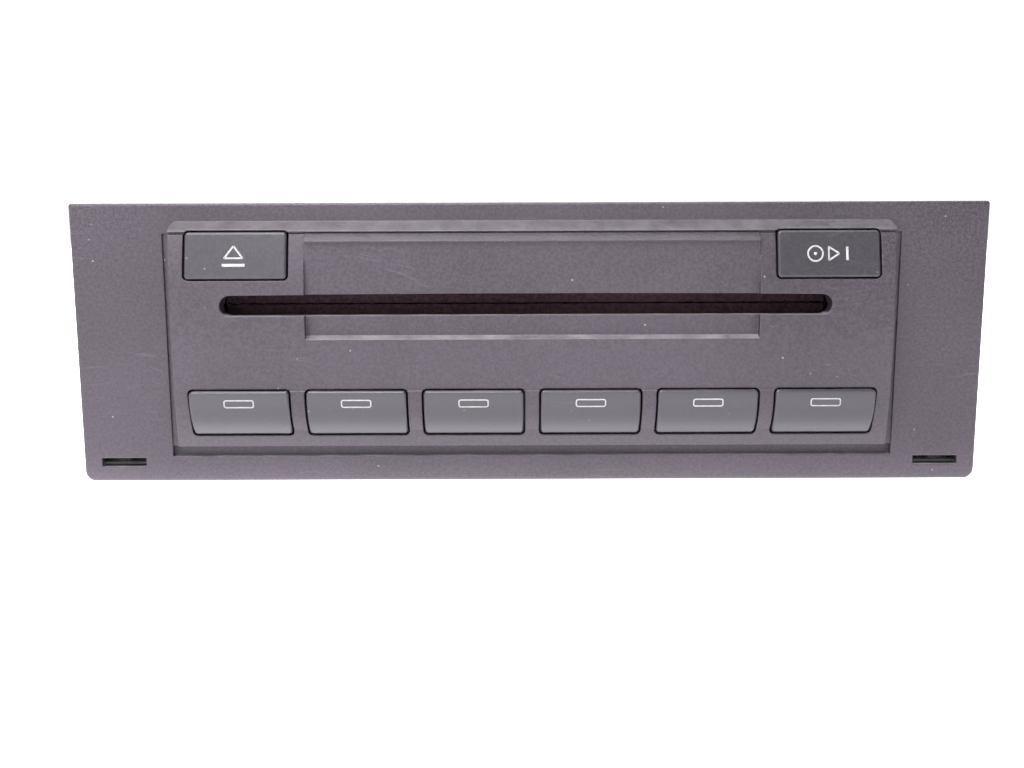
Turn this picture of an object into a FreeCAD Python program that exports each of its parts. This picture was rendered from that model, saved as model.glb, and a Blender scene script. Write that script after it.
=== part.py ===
"""Six-disc in-dash CD changer: moulded fascia, sprung keys, steel chassis, tray stack and swing-in deck.

X runs to the right as seen from the front, Y to the back and Z up. The origin is the middle of the bounding
box's base: the fascia's bottom edge is Z = 0. Discs travel in the plane of the slot, along Y.
"""
import FreeCAD, Part
import math
import os
import Sketcher

Vector = FreeCAD.Vector
Rotation = FreeCAD.Rotation

# Driving sizes in millimetres and degrees, by region of the product.
SIZES = {
    # Fascia: a shallow moulded tray that covers the dash opening
    "fascia_width": 188.4,
    "fascia_height": 58.1,
    "fascia_plate": 2.5,
    "skirt_wall": 2.0,
    "skirt_depth": 14.0,
    "fascia_top_round": 0.7,
    "fascia_bottom_round": 2.2,
    "fascia_edge_round": 0.6,
    # Raised panel: one arc from its lip to its shoulder, drafted at both ends
    "panel_width": 149.0,
    "panel_shift": 0.5,
    "panel_foot": 5.4,
    "panel_lip": 7.6,
    "panel_radius": 65.0,
    "panel_apex": 33.0,
    "panel_bulge": 5.6,
    "panel_draft": 13.0,
    "panel_corner": 2.0,
    "panel_wall": 2.0,
    "shoulder_top": 54.4,
    "shoulder_edge": 52.3,
    "shoulder_reach": 3.0,
    "shoulder_groove": 0.5,
    # Flat recess round the slot, under a hood
    "recess_width": 92.1,
    "recess_bottom": 30.6,
    "recess_top": 50.3,
    "recess_reach": 4.0,
    "recess_bevel": 0.7,
    "hood_reach": 4.6,
    # Disc slot
    "slot_level": 37.6,
    "slot_width": 123.8,
    "slot_shift": -0.8,
    "slot_height": 4.4,
    "slot_end_height": 4.15,
    "disc_diameter": 120.0,
    "disc_thickness": 1.2,
    # Keys
    "key_gap": 0.4,
    "key_wall": 1.4,
    "key_travel": 0.8,
    "key_proud": 0.3,
    "key_bevel": 0.3,
    "key_flange": 0.8,
    "key_stem": 2.2,
    "corner_key_width": 21.4,
    "corner_key_offset": 59.9,
    "corner_key_bottom": 42.5,
    "corner_key_top": 52.6,
    "disc_key_count": 6,
    "disc_key_pitch": 24.1,
    "disc_key_width": 21.3,
    "disc_key_bottom": 10.0,
    "disc_key_top": 20.3,
    "disc_key_radius": 12.5,
    "disc_key_low_reach": 1.5,
    "disc_key_top_reach": 4.8,
    "web_inset": 0.3,
    "key_corner": 1.1,
    # Removal-key slots under the chassis
    "blade_width": 9.4,
    "blade_height": 1.9,
    "blade_offset": 85.7,
    "blade_level": 4.1,
    # Key board behind the fascia
    "board_thickness": 1.6,
    "board_setback": 5.2,
    "board_margin": 3.0,
    "boss_margin": 6.2,
    "boss_level": 16.0,
    "switch_body": 5.6,
    "switch_height": 2.2,
    "switch_plunger": 1.5,
    "switch_clearance": 0.25,
    "led_width": 1.6,
    "led_height": 0.8,
    # Chassis: one-DIN box of sheet steel
    "chassis_width": 180.0,
    "chassis_height": 50.0,
    "chassis_bottom": 5.8,
    "chassis_depth": 178.0,
    "chassis_setback": 8.6,
    "sheet_steel": 1.0,
    "bend_radius": 1.5,
    "snap_length": 3.6,
    "snap_height": 3.0,
    "side_screw_radius": 2.1,
    "side_screw_spacing": 60.0,
    "side_screw_rows": 20.0,
    "side_screw_setback": 60.0,
    "vent_length": 28.0,
    "vent_width": 2.4,
    "vent_pitch": 7.0,
    "vent_count": 3,
    # Rear panel
    "connector_width": 38.0,
    "connector_height": 17.0,
    "connector_depth": 12.0,
    "connector_wall": 1.4,
    "connector_offset": -40.0,
    "pin_pitch": 3.6,
    "pin_side": 0.9,
    "stud_radius": 2.5,
    "stud_length": 14.0,
    "stud_collar": 5.0,
    "stud_level": 30.0,
    # Screw posts and holes
    "post_radius": 2.6,
    "hole_radius": 1.3,
    # Main board on the chassis floor
    "main_board_lift": 2.6,
    "main_board_left": 66.0,
    "main_board_right": 46.0,
    "main_board_front": 26.0,
    "main_board_rear": 120.0,
    "chip_side": 10.0,
    "chip_height": 1.6,
    "capacitor_radius": 2.6,
    "capacitor_height": 3.6,
    "capacitor_pitch": 7.0,
    # Mechanism frame
    "front_damper": 46.0,
    "rear_damper": 148.0,
    "window_half": 51.0,
    "window_front": 66.0,
    "window_rear": 155.0,
    "window_corner": 10.0,
    "damper_height": 8.2,
    "damper_radius": 5.0,
    "base_thickness": 1.0,
    "base_half_width": 84.0,
    "base_depth": 173.0,
    "top_plate_level": 51.5,
    "ear_offset": 78.0,
    # Disc loading
    "roller_setback": 8.0,
    "roller_radius": 4.0,
    "roller_waist": 3.6,
    "roller_shaft_radius": 1.5,
    "roller_gap": 2.0,
    "roller_half_length": 62.0,
    "gear_module": 0.6,
    "roller_teeth": 18,
    "idler_teeth": 16,
    "pinion_teeth": 12,
    "gear_width": 2.6,
    "gear_backlash": 0.12,
    "shaft_clearance": 0.05,
    "load_motor_radius": 5.5,
    "load_motor_length": 20.0,
    # Lift: rack plate, four spindles and their pinions
    "rack_module": 1.0,
    "lift_teeth": 12,
    "rack_thickness": 1.0,
    "rack_lift": 0.6,
    "rack_travel": 12.0,
    "front_guide": 32.0,
    "rear_guide": 58.0,
    "spindle_radius": 3.0,
    "spindle_offset": 76.0,
    "front_spindle": 62.0,
    "rear_spindle": 158.0,
    "lift_motor_radius": 7.5,
    "lift_motor_setback": 135.0,
    # Disc trays
    "tray_count": 6,
    "tray_pitch": 2.6,
    "tray_thickness": 2.2,
    "tray_floor": 1.0,
    "tray_half_width": 84.0,
    "tray_front": 56.5,
    "tray_rear": 174.0,
    "tray_opening": 42.0,
    "disc_clearance": 0.6,
    "disc_centre": 112.0,
    "lower_tray": 19.5,
    "play_tray": 36.0,
    "upper_tray": 43.2,
    # Playback deck, swung in about its pivot post
    "deck_pivot_offset": 78.0,
    "deck_pivot_setback": 34.0,
    "deck_pivot_radius": 3.0,
    "deck_reach": 110.0,
    "deck_bottom": 25.2,
    "deck_height": 8.4,
    "deck_floor": 1.2,
    "deck_wall": 1.4,
    "deck_half_width": 20.0,
    "arm_half_width": 9.5,
    "arm_length": 33.0,
    "deck_nose": 128.0,
    "turntable_radius": 14.0,
    "turntable_seat": 35.4,
    "turntable_thickness": 1.4,
    "cone_radius": 7.4,
    "cone_top": 36.6,
    "spindle_motor_radius": 11.0,
    "spindle_motor_height": 5.2,
    "motor_shaft_radius": 1.0,
    "clamp_level": 40.0,
    "clamp_thickness": 1.0,
    "clamp_half_width": 8.0,
    "clamp_hinge": 8.0,
    "hinge_pin_radius": 1.0,
    "puck_radius": 13.0,
    "puck_thickness": 1.2,
    "puck_stem_radius": 3.0,
    "rod_radius": 1.5,
    "rod_level": 29.2,
    "front_rod": -10.0,
    "rear_rod": 13.0,
    "screw_line": -15.6,
    "lead_screw_radius": 1.0,
    "pickup_inner": 23.0,
    "pickup_travel": 35.0,
    "pickup_length": 13.0,
    "lens_radius": 2.2,
    "sled_motor_radius": 2.7,
    "sled_motor_length": 12.0,
    # Latch springs beside the removal slots
    "leaf_thickness": 0.5,
    "leaf_length": 46.0,
    "leaf_height": 2.6,
    "leaf_bulge": 2.2,
    "leaf_flat": 10.0,
    "leaf_foot": 8.0,
}

doc = FreeCAD.newDocument("cd_changer")
sheet = doc.addObject("Spreadsheet::Sheet", "sizes")
for line, (alias, number) in enumerate(SIZES.items(), 1):
    sheet.set(f"A{line}", alias)
    sheet.set(f"B{line}", str(number))
    sheet.setAlias(f"B{line}", alias)
doc.recompute()


class Size:
    """A size written in terms of the sheet's cells, with the value it has now."""

    def __init__(self, text, value):
        self.text = text
        self.value = value

    def __add__(self, other):
        return join(self, "+", other)

    def __radd__(self, other):
        return join(other, "+", self)

    def __sub__(self, other):
        return join(self, "-", other)

    def __rsub__(self, other):
        return join(other, "-", self)

    def __mul__(self, other):
        return join(self, "*", other)

    def __rmul__(self, other):
        return join(other, "*", self)

    def __truediv__(self, other):
        return join(self, "/", other)

    def __rtruediv__(self, other):
        return join(other, "/", self)

    def __neg__(self):
        return join(0, "-", self)


def size(thing):
    return thing if isinstance(thing, Size) else Size(repr(thing), thing)


def join(first, sign, second):
    """The sum, difference, product or quotient of two sizes."""
    first = size(first)
    second = size(second)
    values = {
        "+": lambda a, b: a + b,
        "-": lambda a, b: a - b,
        "*": lambda a, b: a * b,
        "/": lambda a, b: a / b,
    }
    return Size(f"({first.text} {sign} {second.text})", values[sign](first.value, second.value))


def root(of):
    return Size(f"sqrt({of.text})", math.sqrt(of.value))


def sine(angle):
    return Size(f"sin({size(angle).text})", math.sin(math.radians(size(angle).value)))


def cosine(angle):
    return Size(f"cos({size(angle).text})", math.cos(math.radians(size(angle).value)))


class Cells:
    """The sheet's cells as sizes: cell.fascia_width and so on."""

    def __getattr__(self, name):
        return Size(f"sizes.{name}", SIZES[name])


cell = Cells()


def bind(thing, **properties):
    """Ties properties to sizes; a double underscore in a name stands for a dot."""
    for name, amount in properties.items():
        thing.setExpression(name.replace("__", "."), size(amount).text)
    return thing


def place(thing, x=0, y=0, z=0):
    return bind(thing, Placement__Base__x=x, Placement__Base__y=y, Placement__Base__z=z)


# Sketches: loops of lines and arcs whose corners are tied to sizes

class Line:
    """A corner from which a straight edge runs to the next corner."""

    def __init__(self, across, up):
        self.across = size(across)
        self.up = size(up)
        self.point = Vector(self.across.value, self.up.value, 0)


class Arc(Line):
    """A corner from which an arc about a centre runs to the next corner."""

    def __init__(self, across, up, centre_across, centre_up, clockwise=False):
        super().__init__(across, up)
        self.centre_across = size(centre_across)
        self.centre_up = size(centre_up)
        self.clockwise = clockwise

    def middle(self, end):
        """The point half-way along the arc to end."""
        centre = Vector(self.centre_across.value, self.centre_up.value, 0)
        start_arm = self.point - centre
        end_arm = end - centre
        start = math.atan2(start_arm.y, start_arm.x)
        sweep = math.atan2(end_arm.y, end_arm.x) - start
        turn = 2 * math.pi
        sweep = -((-sweep) % turn) if self.clockwise else sweep % turn
        half = start + sweep / 2
        return centre + Vector(math.cos(half), math.sin(half), 0) * start_arm.Length


def rectangle(across, up):
    """Corners of a rectangle from (low, high) pairs, counter-clockwise."""
    return [Line(across[0], up[0]), Line(across[1], up[0]), Line(across[1], up[1]), Line(across[0], up[1])]


def rounded(across, up, bottom, top=None):
    """A rectangle with rounded corners; the top pair may have a radius of its own."""
    top = bottom if top is None else top
    left, right = across
    low, high = up
    return [
        Line(left + bottom, low),
        Arc(right - bottom, low, right - bottom, low + bottom),
        Line(right, low + bottom),
        Arc(right, high - top, right - top, high - top),
        Line(right - top, high),
        Arc(left + top, high, left + top, high - top),
        Line(left, high - top),
        Arc(left, low + bottom, left + bottom, low + bottom),
    ]


def stadium(across, up):
    """A slot with full-round ends, lying along the sketch's first axis."""
    radius = (up[1] - up[0]) / 2
    middle = up[0] + radius
    left = across[0] + radius
    right = across[1] - radius
    return [
        Line(left, up[0]),
        Arc(right, up[0], right, middle),
        Line(right, up[1]),
        Arc(left, up[1], left, middle),
    ]


def tie(sketch, kind, geometry, corner, amount):
    number = sketch.addConstraint(Sketcher.Constraint(kind, -1, 1, geometry, corner, amount.value))
    sketch.setExpression(f"Constraints[{number}]", amount.text)


def draw_loop(sketch, corners):
    """Adds a closed loop, each corner held by its two coordinates and each arc by its centre."""
    edges = []
    for number, corner in enumerate(corners):
        start = corner.point
        end = corners[(number + 1) % len(corners)].point
        ends = (1, 2)
        if not isinstance(corner, Arc):
            curve = Part.LineSegment(start, end)
        elif corner.clockwise:
            curve = Part.Arc(end, corner.middle(end), start)
            ends = (2, 1)
        else:
            curve = Part.Arc(start, corner.middle(end), end)
        edges.append((sketch.addGeometry(curve), ends))
    for number, corner in enumerate(corners):
        index, ends = edges[number]
        follower, follower_ends = edges[(number + 1) % len(corners)]
        sketch.addConstraint(Sketcher.Constraint("Coincident", index, ends[1], follower, follower_ends[0]))
        tie(sketch, "DistanceX", index, ends[0], corner.across)
        tie(sketch, "DistanceY", index, ends[0], corner.up)
        if isinstance(corner, Arc):
            chord = corners[(number + 1) % len(corners)].point - corner.point
            if abs(chord.y) > abs(chord.x):
                tie(sketch, "DistanceX", index, 3, corner.centre_across)
            else:
                tie(sketch, "DistanceY", index, 3, corner.centre_up)


class Circle:
    def __init__(self, across, up, radius):
        self.across = size(across)
        self.up = size(up)
        self.radius = size(radius)

    def draw(self, sketch):
        centre = Vector(self.across.value, self.up.value, 0)
        index = sketch.addGeometry(Part.Circle(centre, Vector(0, 0, 1), self.radius.value))
        tie(sketch, "DistanceX", index, 3, self.across)
        tie(sketch, "DistanceY", index, 3, self.up)
        number = sketch.addConstraint(Sketcher.Constraint("Radius", index, self.radius.value))
        sketch.setExpression(f"Constraints[{number}]", self.radius.text)


# The way each origin plane's normal points along the frame's axis
FACING = {"XY_Plane": 1, "XZ_Plane": -1, "YZ_Plane": 1}


def body(name):
    made = doc.addObject("PartDesign::Body", name)
    made.Label = name
    return made


def sketch_on(owner, plane, level, loops):
    """A sketch on one of the body's origin planes, moved along its normal to a level on the frame's axis."""
    drawn = owner.newObject("Sketcher::SketchObject", f"{owner.Label}_sketch")
    support = next(item for item in owner.Origin.OriginFeatures if item.Role == plane)
    drawn.AttachmentSupport = [(support, "")]
    drawn.MapMode = "FlatFace"
    bind(drawn, AttachmentOffset__Base__z=level * FACING[plane])
    for loop in loops:
        if isinstance(loop, Circle):
            loop.draw(drawn)
        else:
            draw_loop(drawn, loop)
    drawn.Visibility = False
    return drawn


def add(owner, plane, low, high, *loops, draft=None):
    """Pads loops between two levels; a draft narrows the pad away from its sketch."""
    start = low if FACING[plane] > 0 else high
    pad = owner.newObject("PartDesign::Pad", f"{owner.Label}_pad")
    pad.Profile = sketch_on(owner, plane, size(start), loops)
    bind(pad, Length=size(high) - low)
    if draft is not None:
        bind(pad, TaperAngle=-draft)
    return pad


def remove(owner, plane, low, high, *loops):
    """Pockets loops between two levels."""
    start = high if FACING[plane] > 0 else low
    pocket = owner.newObject("PartDesign::Pocket", f"{owner.Label}_pocket")
    pocket.Profile = sketch_on(owner, plane, size(start), loops)
    bind(pocket, Length=size(high) - low)
    return pocket


def repeat(owner, feature, axis, pitch, count):
    """A row of copies of a feature along one of the body's axes."""
    row = owner.newObject("PartDesign::LinearPattern", f"{owner.Label}_row")
    row.Originals = [feature]
    axis_line = next(item for item in owner.Origin.OriginFeatures if item.Role == axis)
    row.Direction = (axis_line, [""])
    bind(row, Length=size(pitch) * (size(count) - 1), Occurrences=size(count))
    owner.Tip = row
    return row


def mirror(owner, plane, *features):
    """The features again on the other side of one of the body's origin planes."""
    image = owner.newObject("PartDesign::Mirrored", f"{owner.Label}_mirror")
    image.Originals = list(features)
    support = next(item for item in owner.Origin.OriginFeatures if item.Role == plane)
    image.MirrorPlane = (support, [""])
    owner.Tip = image
    return image


def round_edges(owner, radius, chosen):
    """Fillets the edges of the body's last feature that a test picks out."""
    picked = picked_edges(owner, chosen)
    fillet = owner.newObject("PartDesign::Fillet", f"{owner.Label}_fillet")
    fillet.Base = picked
    return bind(fillet, Radius=radius)


def bevel_edges(owner, width, chosen):
    picked = picked_edges(owner, chosen)
    chamfer = owner.newObject("PartDesign::Chamfer", f"{owner.Label}_chamfer")
    chamfer.Base = picked
    return bind(chamfer, Size=width)


def picked_edges(owner, chosen):
    """The body's last feature with the names of its edges that a test picks out."""
    doc.recompute()
    tip = owner.Tip
    return tip, [f"Edge{n}" for n, edge in enumerate(tip.Shape.Edges, 1) if chosen(edge)]


def turned(name, profile):
    """A body turned about its own Z axis from a profile of (radius, height) corners."""
    made = body(name)
    spin = made.newObject("PartDesign::Revolution", f"{name}_turn")
    spin.Profile = sketch_on(made, "XZ_Plane", size(0), [profile])
    axis_line = next(item for item in made.Origin.OriginFeatures if item.Role == "Z_Axis")
    spin.ReferenceAxis = (axis_line, [""])
    spin.Angle = 360
    return made


LYING = {
    "X": Rotation(Vector(0, 1, 0), 90),
    "Y": Rotation(Vector(1, 0, 0), -90),
    "Z": Rotation(),
}


def lay(thing, axis, x, y, z):
    """Points a turned body's axis along X, Y or Z from a place in the frame."""
    thing.Placement = FreeCAD.Placement(Vector(), LYING[axis])
    return place(thing, x, y, z)


def step_profile(*steps):
    """Half the section of a stepped shaft, from (radius, low, high) steps that follow one another."""
    corners = [Line(0, steps[0][1])]
    for radius, low, high in steps:
        corners.append(Line(radius, low))
        corners.append(Line(radius, high))
    corners.append(Line(0, steps[-1][2]))
    return corners


def joined(name, *things):
    """One node from several solids that belong together."""
    made = doc.addObject("Part::Compound", name)
    made.Label = name
    made.Links = list(things)
    return made


def fused(name, *things):
    made = doc.addObject("Part::MultiFuse", name)
    made.Label = name
    made.Shapes = list(things)
    return made


def shared(name, first, second):
    made = doc.addObject("Part::MultiCommon", name)
    made.Label = name
    made.Shapes = [first, second]
    return made


def rod(name, axis, radius, low, high, first, second):
    """A plain cylinder along an axis; first and second are its place on the other two axes, in order."""
    made = doc.addObject("Part::Cylinder", name)
    made.Label = name
    bind(made, Radius=radius, Height=size(high) - low)
    spots = {"X": (low, first, second), "Y": (first, low, second), "Z": (first, second, low)}
    return lay(made, axis, *spots[axis])


def block(name, x, y, z):
    made = doc.addObject("Part::Box", name)
    made.Label = name
    bind(made, Length=size(x[1]) - x[0], Width=size(y[1]) - y[0], Height=size(z[1]) - z[0])
    return place(made, x[0], y[0], z[0])


# Levels and lines that several pieces share

steel = cell.sheet_steel
clear = cell.shaft_clearance
front_reach = cell.panel_bulge
rear_reach = cell.stud_length
total_depth = front_reach + cell.chassis_setback + cell.chassis_depth + rear_reach
face = front_reach - total_depth / 2
chassis_front = face + cell.chassis_setback
chassis_rear = chassis_front + cell.chassis_depth
chassis_side = cell.chassis_width / 2
chassis_top = cell.chassis_bottom + cell.chassis_height
floor_top = cell.chassis_bottom + steel
board_front = face + cell.board_setback
base_bottom = floor_top + cell.damper_height
base_top = base_bottom + cell.base_thickness
rack_bottom = base_top + cell.rack_lift
rack_top = rack_bottom + cell.rack_thickness
roller_y = chassis_front + cell.roller_setback
roller_level = cell.slot_level - cell.disc_thickness / 2 - cell.roller_radius
disc_y = chassis_front + cell.disc_centre
pivot_y = chassis_front + cell.deck_pivot_setback
turntable_x = cell.deck_pivot_offset - cell.deck_reach
rail_top = cell.deck_bottom + cell.deck_height
slot_low = cell.slot_level - cell.slot_height / 2
slot_high = cell.slot_level + cell.slot_height / 2
hollow_inset = cell.panel_wall + cell.panel_bulge - cell.recess_reach


def reach(amount):
    """The Y of a point that stands out in front of the fascia's flat face."""
    return face - amount


def panel_reach_at(level):
    """How far the panel's arc stands out at a level."""
    drop = size(level) - cell.panel_apex
    return cell.panel_bulge - cell.panel_radius + root(cell.panel_radius * cell.panel_radius - drop * drop)


def panel_profile(inset):
    """The panel's section in the YZ plane, set in by a wall for the inside."""
    back = face + cell.fascia_plate
    low = cell.panel_lip + inset
    high = cell.shoulder_edge - inset - cell.shoulder_groove
    centre = (reach(cell.panel_bulge - cell.panel_radius), cell.panel_apex)
    drop_low = low - cell.panel_apex
    drop_high = high - cell.panel_apex
    radius = cell.panel_radius - inset
    low_y = centre[0] - root(radius * radius - drop_low * drop_low)
    high_y = centre[0] - root(radius * radius - drop_high * drop_high)
    return low, low_y, high, high_y, centre, back


def panel_outside():
    """Flank, front arc, groove and shoulder of the raised panel."""
    low, low_y, high, high_y, centre, back = panel_profile(size(0))
    groove_y = high_y + cell.shoulder_groove
    return [
        Line(back, cell.panel_foot),
        Line(face, cell.panel_foot),
        Arc(low_y, low, centre[0], centre[1], clockwise=True),
        Line(high_y, high),
        Line(groove_y, high),
        Line(groove_y, high + cell.shoulder_groove),
        Line(reach(cell.shoulder_reach), cell.shoulder_edge),
        Line(face, cell.shoulder_top),
        Line(back, cell.shoulder_top),
    ]


def panel_inside():
    """The hollow behind the panel, one wall in from its front and flanks."""
    low, low_y, high, high_y, centre, back = panel_profile(hollow_inset)
    return [
        Line(back, low),
        Arc(low_y, low, centre[0], centre[1], clockwise=True),
        Line(high_y, high),
        Line(back, high),
    ]


def key_centre(number):
    """X of one of the six disc keys' centres."""
    return cell.panel_shift + cell.disc_key_pitch * (number - (cell.disc_key_count - 1) / 2)


def corner_centre(side):
    return cell.panel_shift + side * cell.corner_key_offset


def span(centre, width):
    return (size(centre) - size(width) / 2, size(centre) + size(width) / 2)


def grown(pair, amount):
    return (pair[0] - amount, pair[1] + amount)


corner_key_rise = (cell.corner_key_bottom, cell.corner_key_top)
disc_key_rise = (cell.disc_key_bottom, cell.disc_key_top)
slot_span = span(cell.slot_shift, cell.slot_width)
recess_span = span(cell.panel_shift, cell.recess_width)
bosses = [(x, z) for x in (-1, 1) for z in (-1, 1)]


def boss_x(side):
    return side * (cell.fascia_width / 2 - cell.skirt_wall - cell.boss_margin)


def boss_z(end):
    return cell.fascia_height / 2 + end * (cell.fascia_height / 2 - cell.boss_level)


# Gears with involute flanks drawn as three straight lines each

PRESSURE = 20
ADDENDUM = 0.8


def involute(ratio):
    """The involute angle, in degrees, where the base radius is a ratio of the radius."""
    angle = math.degrees(math.acos(size(ratio).value))
    value = math.degrees(math.tan(math.radians(angle))) - angle
    text = size(ratio).text
    return Size(f"(tan(acos({text})) * 180 / pi - acos({text}) / 1deg)", value)


def pitch_radius(module, teeth):
    return size(module) * teeth / 2


def polar(radius, angle):
    return Line(size(radius) * cosine(angle), size(radius) * sine(angle))


def tooth(module, teeth, phase):
    """One tooth about a phase angle: radial foot, flank to the pitch circle, flank to the tip."""
    pitch = pitch_radius(module, teeth)
    base = pitch * math.cos(math.radians(PRESSURE))
    tip = pitch + size(module) * ADDENDUM
    foot = pitch - size(module) * 1.3
    at_pitch = 90 / size(teeth) - cell.gear_backlash / pitch * (90 / math.pi)
    at_base = at_pitch + involute(base / pitch)
    at_tip = at_base - involute(base / tip)
    rising = [(foot, at_base), (base, at_base), (pitch, at_pitch), (tip, at_tip)]
    lower = [polar(radius, phase - half) for radius, half in rising]
    upper = [polar(radius, phase + half) for radius, half in reversed(rising)]
    return lower + upper


def cut_gear(owner, module, teeth, low, high, phase):
    """Adds a toothed wheel about the body's Z axis between two heights."""
    pitch = pitch_radius(module, teeth)
    add(owner, "XY_Plane", low, high, Circle(0, 0, pitch - size(module) * 1.2))
    first = add(owner, "XY_Plane", low, high, tooth(module, teeth, phase))
    ring = owner.newObject("PartDesign::PolarPattern", f"{owner.Label}_teeth")
    ring.Originals = [first]
    axis_line = next(item for item in owner.Origin.OriginFeatures if item.Role == "Z_Axis")
    ring.Axis = (axis_line, [""])
    ring.Angle = 360
    bind(ring, Occurrences=teeth)
    owner.Tip = ring
    return ring


# Fascia

def front_fascia():
    half = cell.fascia_width / 2
    wall = cell.skirt_wall
    plate_back = face + cell.fascia_plate
    far_front = reach(cell.panel_bulge + 1)
    tray = body("fascia_tray")
    rise = (size(0), cell.fascia_height)
    outline = rounded((-half, half), rise, cell.fascia_bottom_round, cell.fascia_top_round)
    add(tray, "XZ_Plane", face, face + cell.skirt_depth, outline)
    round_edges(tray, cell.fascia_edge_round, lambda edge: edge.BoundBox.YMax < face.value + 0.01)
    inside = rectangle((wall - half, half - wall), (wall, cell.fascia_height - wall))
    remove(tray, "XZ_Plane", plate_back, face + cell.skirt_depth, inside)

    panel_side = span(cell.panel_shift, cell.panel_width)
    section = body("panel_section")
    add(section, "YZ_Plane", panel_side[0], panel_side[1], panel_outside())
    flanks = body("panel_flanks")
    front_view = rounded(panel_side, (cell.panel_foot, cell.shoulder_top), cell.panel_corner)
    add(flanks, "XZ_Plane", face, plate_back, front_view)
    add(flanks, "XZ_Plane", far_front, face, front_view, draft=cell.panel_draft)
    hood = body("hood")
    hood_section = [
        Line(plate_back, cell.shoulder_top),
        Line(face, cell.shoulder_top),
        Line(reach(cell.hood_reach), cell.recess_top),
        Line(reach(cell.recess_reach), cell.recess_top),
        Line(reach(cell.recess_reach), slot_high),
        Line(plate_back, slot_high),
    ]
    add(hood, "YZ_Plane", recess_span[0], recess_span[1], hood_section)
    webs = body("key_webs")
    low, high = grown(disc_key_rise, -cell.key_gap)
    web_section = rolled_front(low, high, plate_back, cell.web_inset)
    add(webs, "YZ_Plane", key_centre(0), key_centre(cell.disc_key_count - 1), web_section)
    shell = fused("fascia_shell", tray, shared("raised_panel", section, flanks), hood, webs)

    fascia = body("front_fascia")
    fascia.BaseFeature = shell
    recess = [
        Line(reach(cell.recess_reach), cell.recess_bottom + cell.recess_bevel),
        Line(reach(panel_reach_at(cell.recess_bottom)), cell.recess_bottom),
        Line(far_front, cell.recess_bottom),
        Line(far_front, cell.recess_top),
        Line(reach(cell.recess_reach), cell.recess_top),
    ]
    remove(fascia, "YZ_Plane", recess_span[0], recess_span[1], recess)
    hollow_side = grown(panel_side, -2 * cell.panel_wall)
    remove(fascia, "YZ_Plane", hollow_side[0], hollow_side[1], panel_inside())
    corner_keys = [
        rounded(span(corner_centre(side), cell.corner_key_width), corner_key_rise, cell.key_corner)
        for side in (-1, 1)
    ]
    remove(fascia, "XZ_Plane", far_front, plate_back, *corner_keys)
    first_key = rounded(span(key_centre(0), cell.disc_key_width), disc_key_rise, cell.key_corner)
    key_hole = remove(fascia, "XZ_Plane", far_front, plate_back, first_key)
    repeat(fascia, key_hole, "X_Axis", cell.disc_key_pitch, cell.disc_key_count)
    remove(fascia, "XZ_Plane", far_front, plate_back, slot_outline())
    blades = [
        rectangle(span(side * cell.blade_offset, cell.blade_width), span(cell.blade_level, cell.blade_height))
        for side in (-1, 1)
    ]
    remove(fascia, "XZ_Plane", face, plate_back, *blades)
    posts = [Circle(boss_x(x), boss_z(z), cell.post_radius) for x, z in bosses]
    add(fascia, "XZ_Plane", plate_back, board_front, *posts)
    pilots = [Circle(boss_x(x), boss_z(z), cell.hole_radius) for x, z in bosses]
    remove(fascia, "XZ_Plane", face + cell.fascia_plate / 2, board_front, *pilots)
    snap_hooks(fascia)
    return fascia


def rolled_front(low, high, back, inset):
    """The key row's section: upright at the top, rolled back towards its lower edge, less an inset."""
    low_y = reach(cell.disc_key_low_reach)
    high_y = reach(cell.disc_key_top_reach)
    rise = high - low
    lean = low_y - high_y
    chord = root(rise * rise + lean * lean)
    depth = root(cell.disc_key_radius * cell.disc_key_radius - chord * chord / 4)
    centre_y = (low_y + high_y) / 2 + depth * rise / chord
    centre_z = (low + high) / 2 + depth * lean / chord
    radius = cell.disc_key_radius - inset

    def front_at(level):
        return centre_y - root(radius * radius - (level - centre_z) * (level - centre_z))

    return [
        Line(back, low),
        Line(back, high),
        Arc(front_at(high), high, centre_y, centre_z),
        Line(front_at(low), low),
    ]


def slot_outline():
    """The disc slot: straight lip, round ends and a slightly arched upper edge."""
    radius = cell.slot_end_height / 2
    left = slot_span[0] + radius
    right = slot_span[1] - radius
    shoulder = slot_low + cell.slot_end_height
    rise = slot_high - shoulder
    half = (right - left) / 2
    arch = (half * half + rise * rise) / (2 * rise)
    return [
        Line(left, slot_low),
        Arc(right, slot_low, right, slot_low + radius),
        Arc(right, shoulder, (left + right) / 2, slot_high - arch),
        Arc(left, shoulder, left, slot_low + radius),
    ]


def snap_rise(end):
    middle = cell.chassis_bottom + cell.chassis_height / 2
    return span(middle + end * cell.chassis_height / 4, cell.snap_height)


def snap_hooks(fascia):
    """Wedges inside the skirt that catch in the chassis's side windows."""
    wall = cell.fascia_width / 2 - cell.skirt_wall
    first = chassis_front + 1.5 * steel
    hooks = []
    for end in (-1, 1):
        low, high = grown(snap_rise(end), -cell.key_gap)
        wedge = [
            Line(wall, first + cell.key_gap),
            Line(wall, first + cell.snap_length),
            Line(chassis_side - steel / 2, first + cell.key_gap),
        ]
        hooks.append(add(fascia, "XY_Plane", low, high, wedge))
    mirror(fascia, "YZ_Plane", *hooks)


# Keys

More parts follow.
